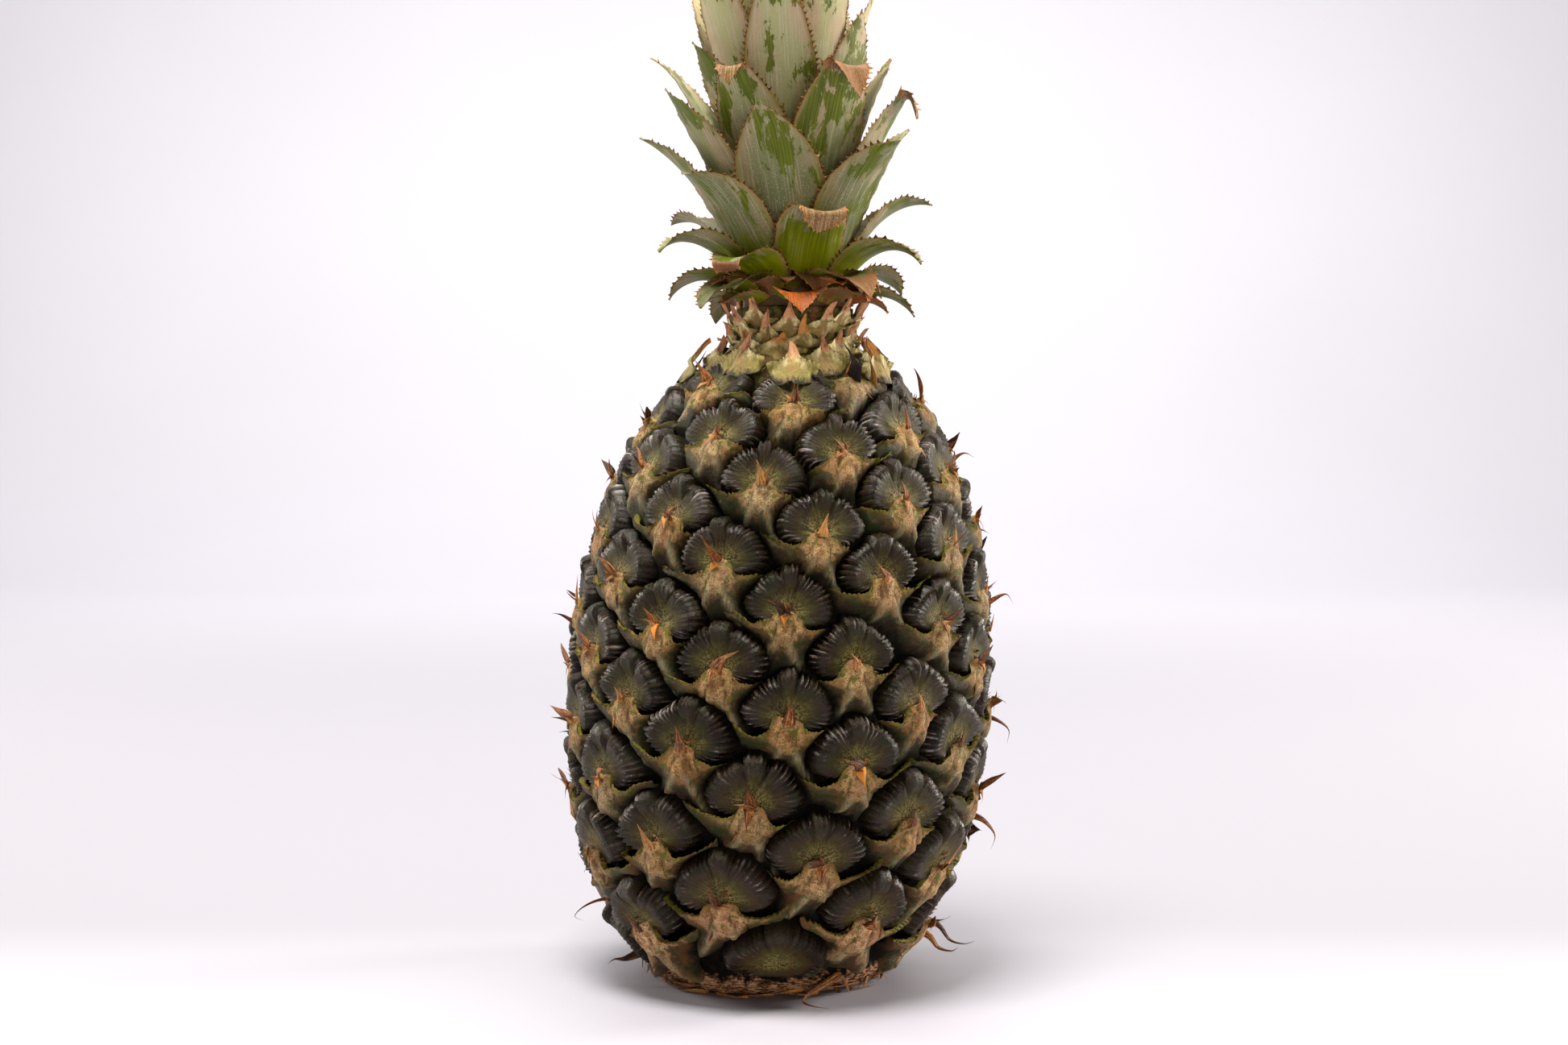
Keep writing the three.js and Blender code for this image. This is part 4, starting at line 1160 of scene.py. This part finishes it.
def build_fruit():
    """All of the fruit but the dried tips, which are handed on."""
    draw = np.random.default_rng(FRUIT_SEED)
    domes, bracts = ({"lower": Heap(), "upper": Heap()} for _ in range(2))
    tips, necks, grooves = Heap(), Heap(), Heap()
    add_grooves(grooves)
    for eye in make_eyes(draw):
        half = "lower" if eye.z < HALF_Z else "upper"
        if eye.z > LOWEST_DOME_Z:
            add_dome(domes[half], eye, draw)
        if eye.z > LOWEST_BRACT_Z:
            add_bract(bracts[half], eye, draw)
            add_spine(tips, eye, draw)
    for index in range(NECK_BRACT_COUNT):
        add_neck_bract(necks, index, draw)
    add_base_fibres(tips, draw)
    add_rim_skin(tips, draw)
    add_long_fibres(tips)
    grooves.piece("rind_grooves", groove_look(), "rind", ["fruit"])
    for name, look, heaps in (("domes", dome_look(), domes), ("bracts", bract_look(), bracts)):
        for half, heap in heaps.items():
            heap.piece(f"rind_{name}_{half}", look, "rind", ["fruit"])
    necks.piece("neck_bracts", neck_look(), "rind", ["fruit"])
    return tips


def crown_scale(index, draw):
    """A short dried scale between the neck and the lowest leaves."""
    leaf = Leaf(LEAF_NUMBERS[0])
    leaf.turn = index * GOLDEN_TURN + 40 * DEG
    leaf.z = CROWN_STEM_Z[0] + 0.6 + 0.24 * index
    leaf.length = draw.uniform(9, 14)
    leaf.width = draw.uniform(9, 13)
    leaf.root_lean = draw.uniform(35, 70) * DEG
    leaf.tip_lean = draw.uniform(110, 185) * DEG
    leaf.dry = draw.uniform(0.2, 1)
    leaf.dry_from = leaf.own = None
    return leaf


def bud_leaf(index):
    """A leaf of the closed bud at the top of the crown."""
    leaf = Leaf(LEAF_NUMBERS[-1])
    leaf.turn = index * GOLDEN_TURN + 70 * DEG
    leaf.z = CROWN_STEM_Z[1] - 0.8 * (BUD_LEAF_COUNT - index)
    leaf.length = 45 - 1.2 * index
    leaf.width = 11
    leaf.root_lean = 2 * DEG
    leaf.tip_lean = -20 * DEG
    leaf.bend = 1
    return leaf


def build_crown(tips):
    draw = np.random.default_rng(CROWN_SEED)
    look, dried = leaf_look(), dry_look()
    teeth = Heap()

    def build_leaves(name, leaves, nodes, owns=FRESH_LEAF_OWN):
        heap = Heap()
        for leaf in leaves:
            add_leaf(heap, leaf, draw, owns)
            add_teeth(teeth, leaf, draw)
        heap.piece(name, look, "crown_leaf", nodes)

    for group, numbers in LEAF_GROUPS.items():
        nodes = [f"leaf_{number - LEAF_NUMBERS[0] + 1:02d}" for number in numbers]
        build_leaves(f"crown_leaves_{group}", map(Leaf, numbers), nodes)
    scales = (crown_scale(index, draw) for index in range(CROWN_SCALE_COUNT))
    build_leaves("crown_scales", scales, [], SCALE_OWN)
    build_leaves("crown_bud", map(bud_leaf, range(BUD_LEAF_COUNT)), [])
    teeth.piece("leaf_teeth", dried, "crown_leaf", [])
    tips.piece("dried_tips", dried, "rind", ["fruit"])


def dress_stem():
    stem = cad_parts["crown_stem"]
    stem.data.materials.clear()
    stem.data.materials.append(stem_look())


def build_stage():
    """A floor that runs into a backdrop in one soft bend."""
    profile = [(FLOOR_FRONT_Y, 0.0), (BACKDROP_Y, 0.0)]
    for angle in np.linspace(0, math.pi / 2, 24)[1:]:
        rise = BACKDROP_BEND * (1 - math.cos(angle))
        profile.append((BACKDROP_Y + BACKDROP_BEND * math.sin(angle), rise))
    profile.append((BACKDROP_Y + BACKDROP_BEND, BACKDROP_TOP_Z))
    sides = (-FLOOR_HALF_WIDTH, FLOOR_HALF_WIDTH)
    points = [(x, y, z - FLOOR_DROP) for y, z in profile for x in sides]
    faces = [[2 * i, 2 * i + 1, 2 * i + 3, 2 * i + 2] for i in range(len(profile) - 1)]
    floor = new_mesh("floor", points, faces, floor_look())


def add_light(name, place, size, power, colour=WARM, target=LIGHT_TARGET):
    data = bpy.data.lights.new(name, "AREA")
    data.shape = "RECTANGLE"
    data.size, data.size_y = size
    data.energy = power
    data.color = colour
    light = new_object(name, data)
    light.location = place
    light.rotation_euler = (Vector(target) - Vector(place)).to_track_quat("-Z", "Y").to_euler()


def build_lights():
    add_light("top_light", (-0.12, -0.25, 1.15), (0.4, 0.25), 20.5, (1, 0.96, 0.87))
    add_light("wide_light", (0, 0.25, 1.7), (1.8, 1.4), 6)
    add_light("left_light", (-1.2, 0.5, 0.5), (0.3, 0.5), 15)
    add_light("right_light", (1.3, 0.5, 0.5), (0.3, 0.5), 29)
    add_light("front_light", (0.45, -1.5, 0.14), (0.9, 0.22), 7.5)
    add_light("backdrop_light", (0, 1.3, 2.15), (3, 0.6), 122, (1, 0.99, 0.88), (0, 2.4, 0.62))
    world = bpy.data.worlds.new("studio")
    world.use_nodes = True
    tree = world.node_tree
    seen = Node(tree, "LightPath", {}, "Is Camera Ray")
    strength = Node(tree, "MapRange", {"Value": seen, **WORLD_STRENGTHS}, "Result")
    connect(tree, tree.nodes["Background"], {"Color": WORLD_COLOUR, "Strength": strength})
    bpy.context.scene.world = world
    bpy.context.scene.view_settings.view_transform = "Standard"


def build_camera():
    data = bpy.data.cameras.new("camera")
    data.lens = CAMERA_LENS
    data.sensor_width = CAMERA_SENSOR
    data.clip_start = 0.01
    camera = new_object("camera", data)
    offset = Vector((0, -math.cos(CAMERA_RISE), math.sin(CAMERA_RISE))) * CAMERA_DISTANCE
    camera.location = CAMERA_TARGET + offset
    camera.rotation_euler = (-offset).to_track_quat("-Z", "Y").to_euler()
    bpy.context.scene.camera = camera


build_camera()
build_lights()
build_stage()
build_crown(build_fruit())
dress_stem()
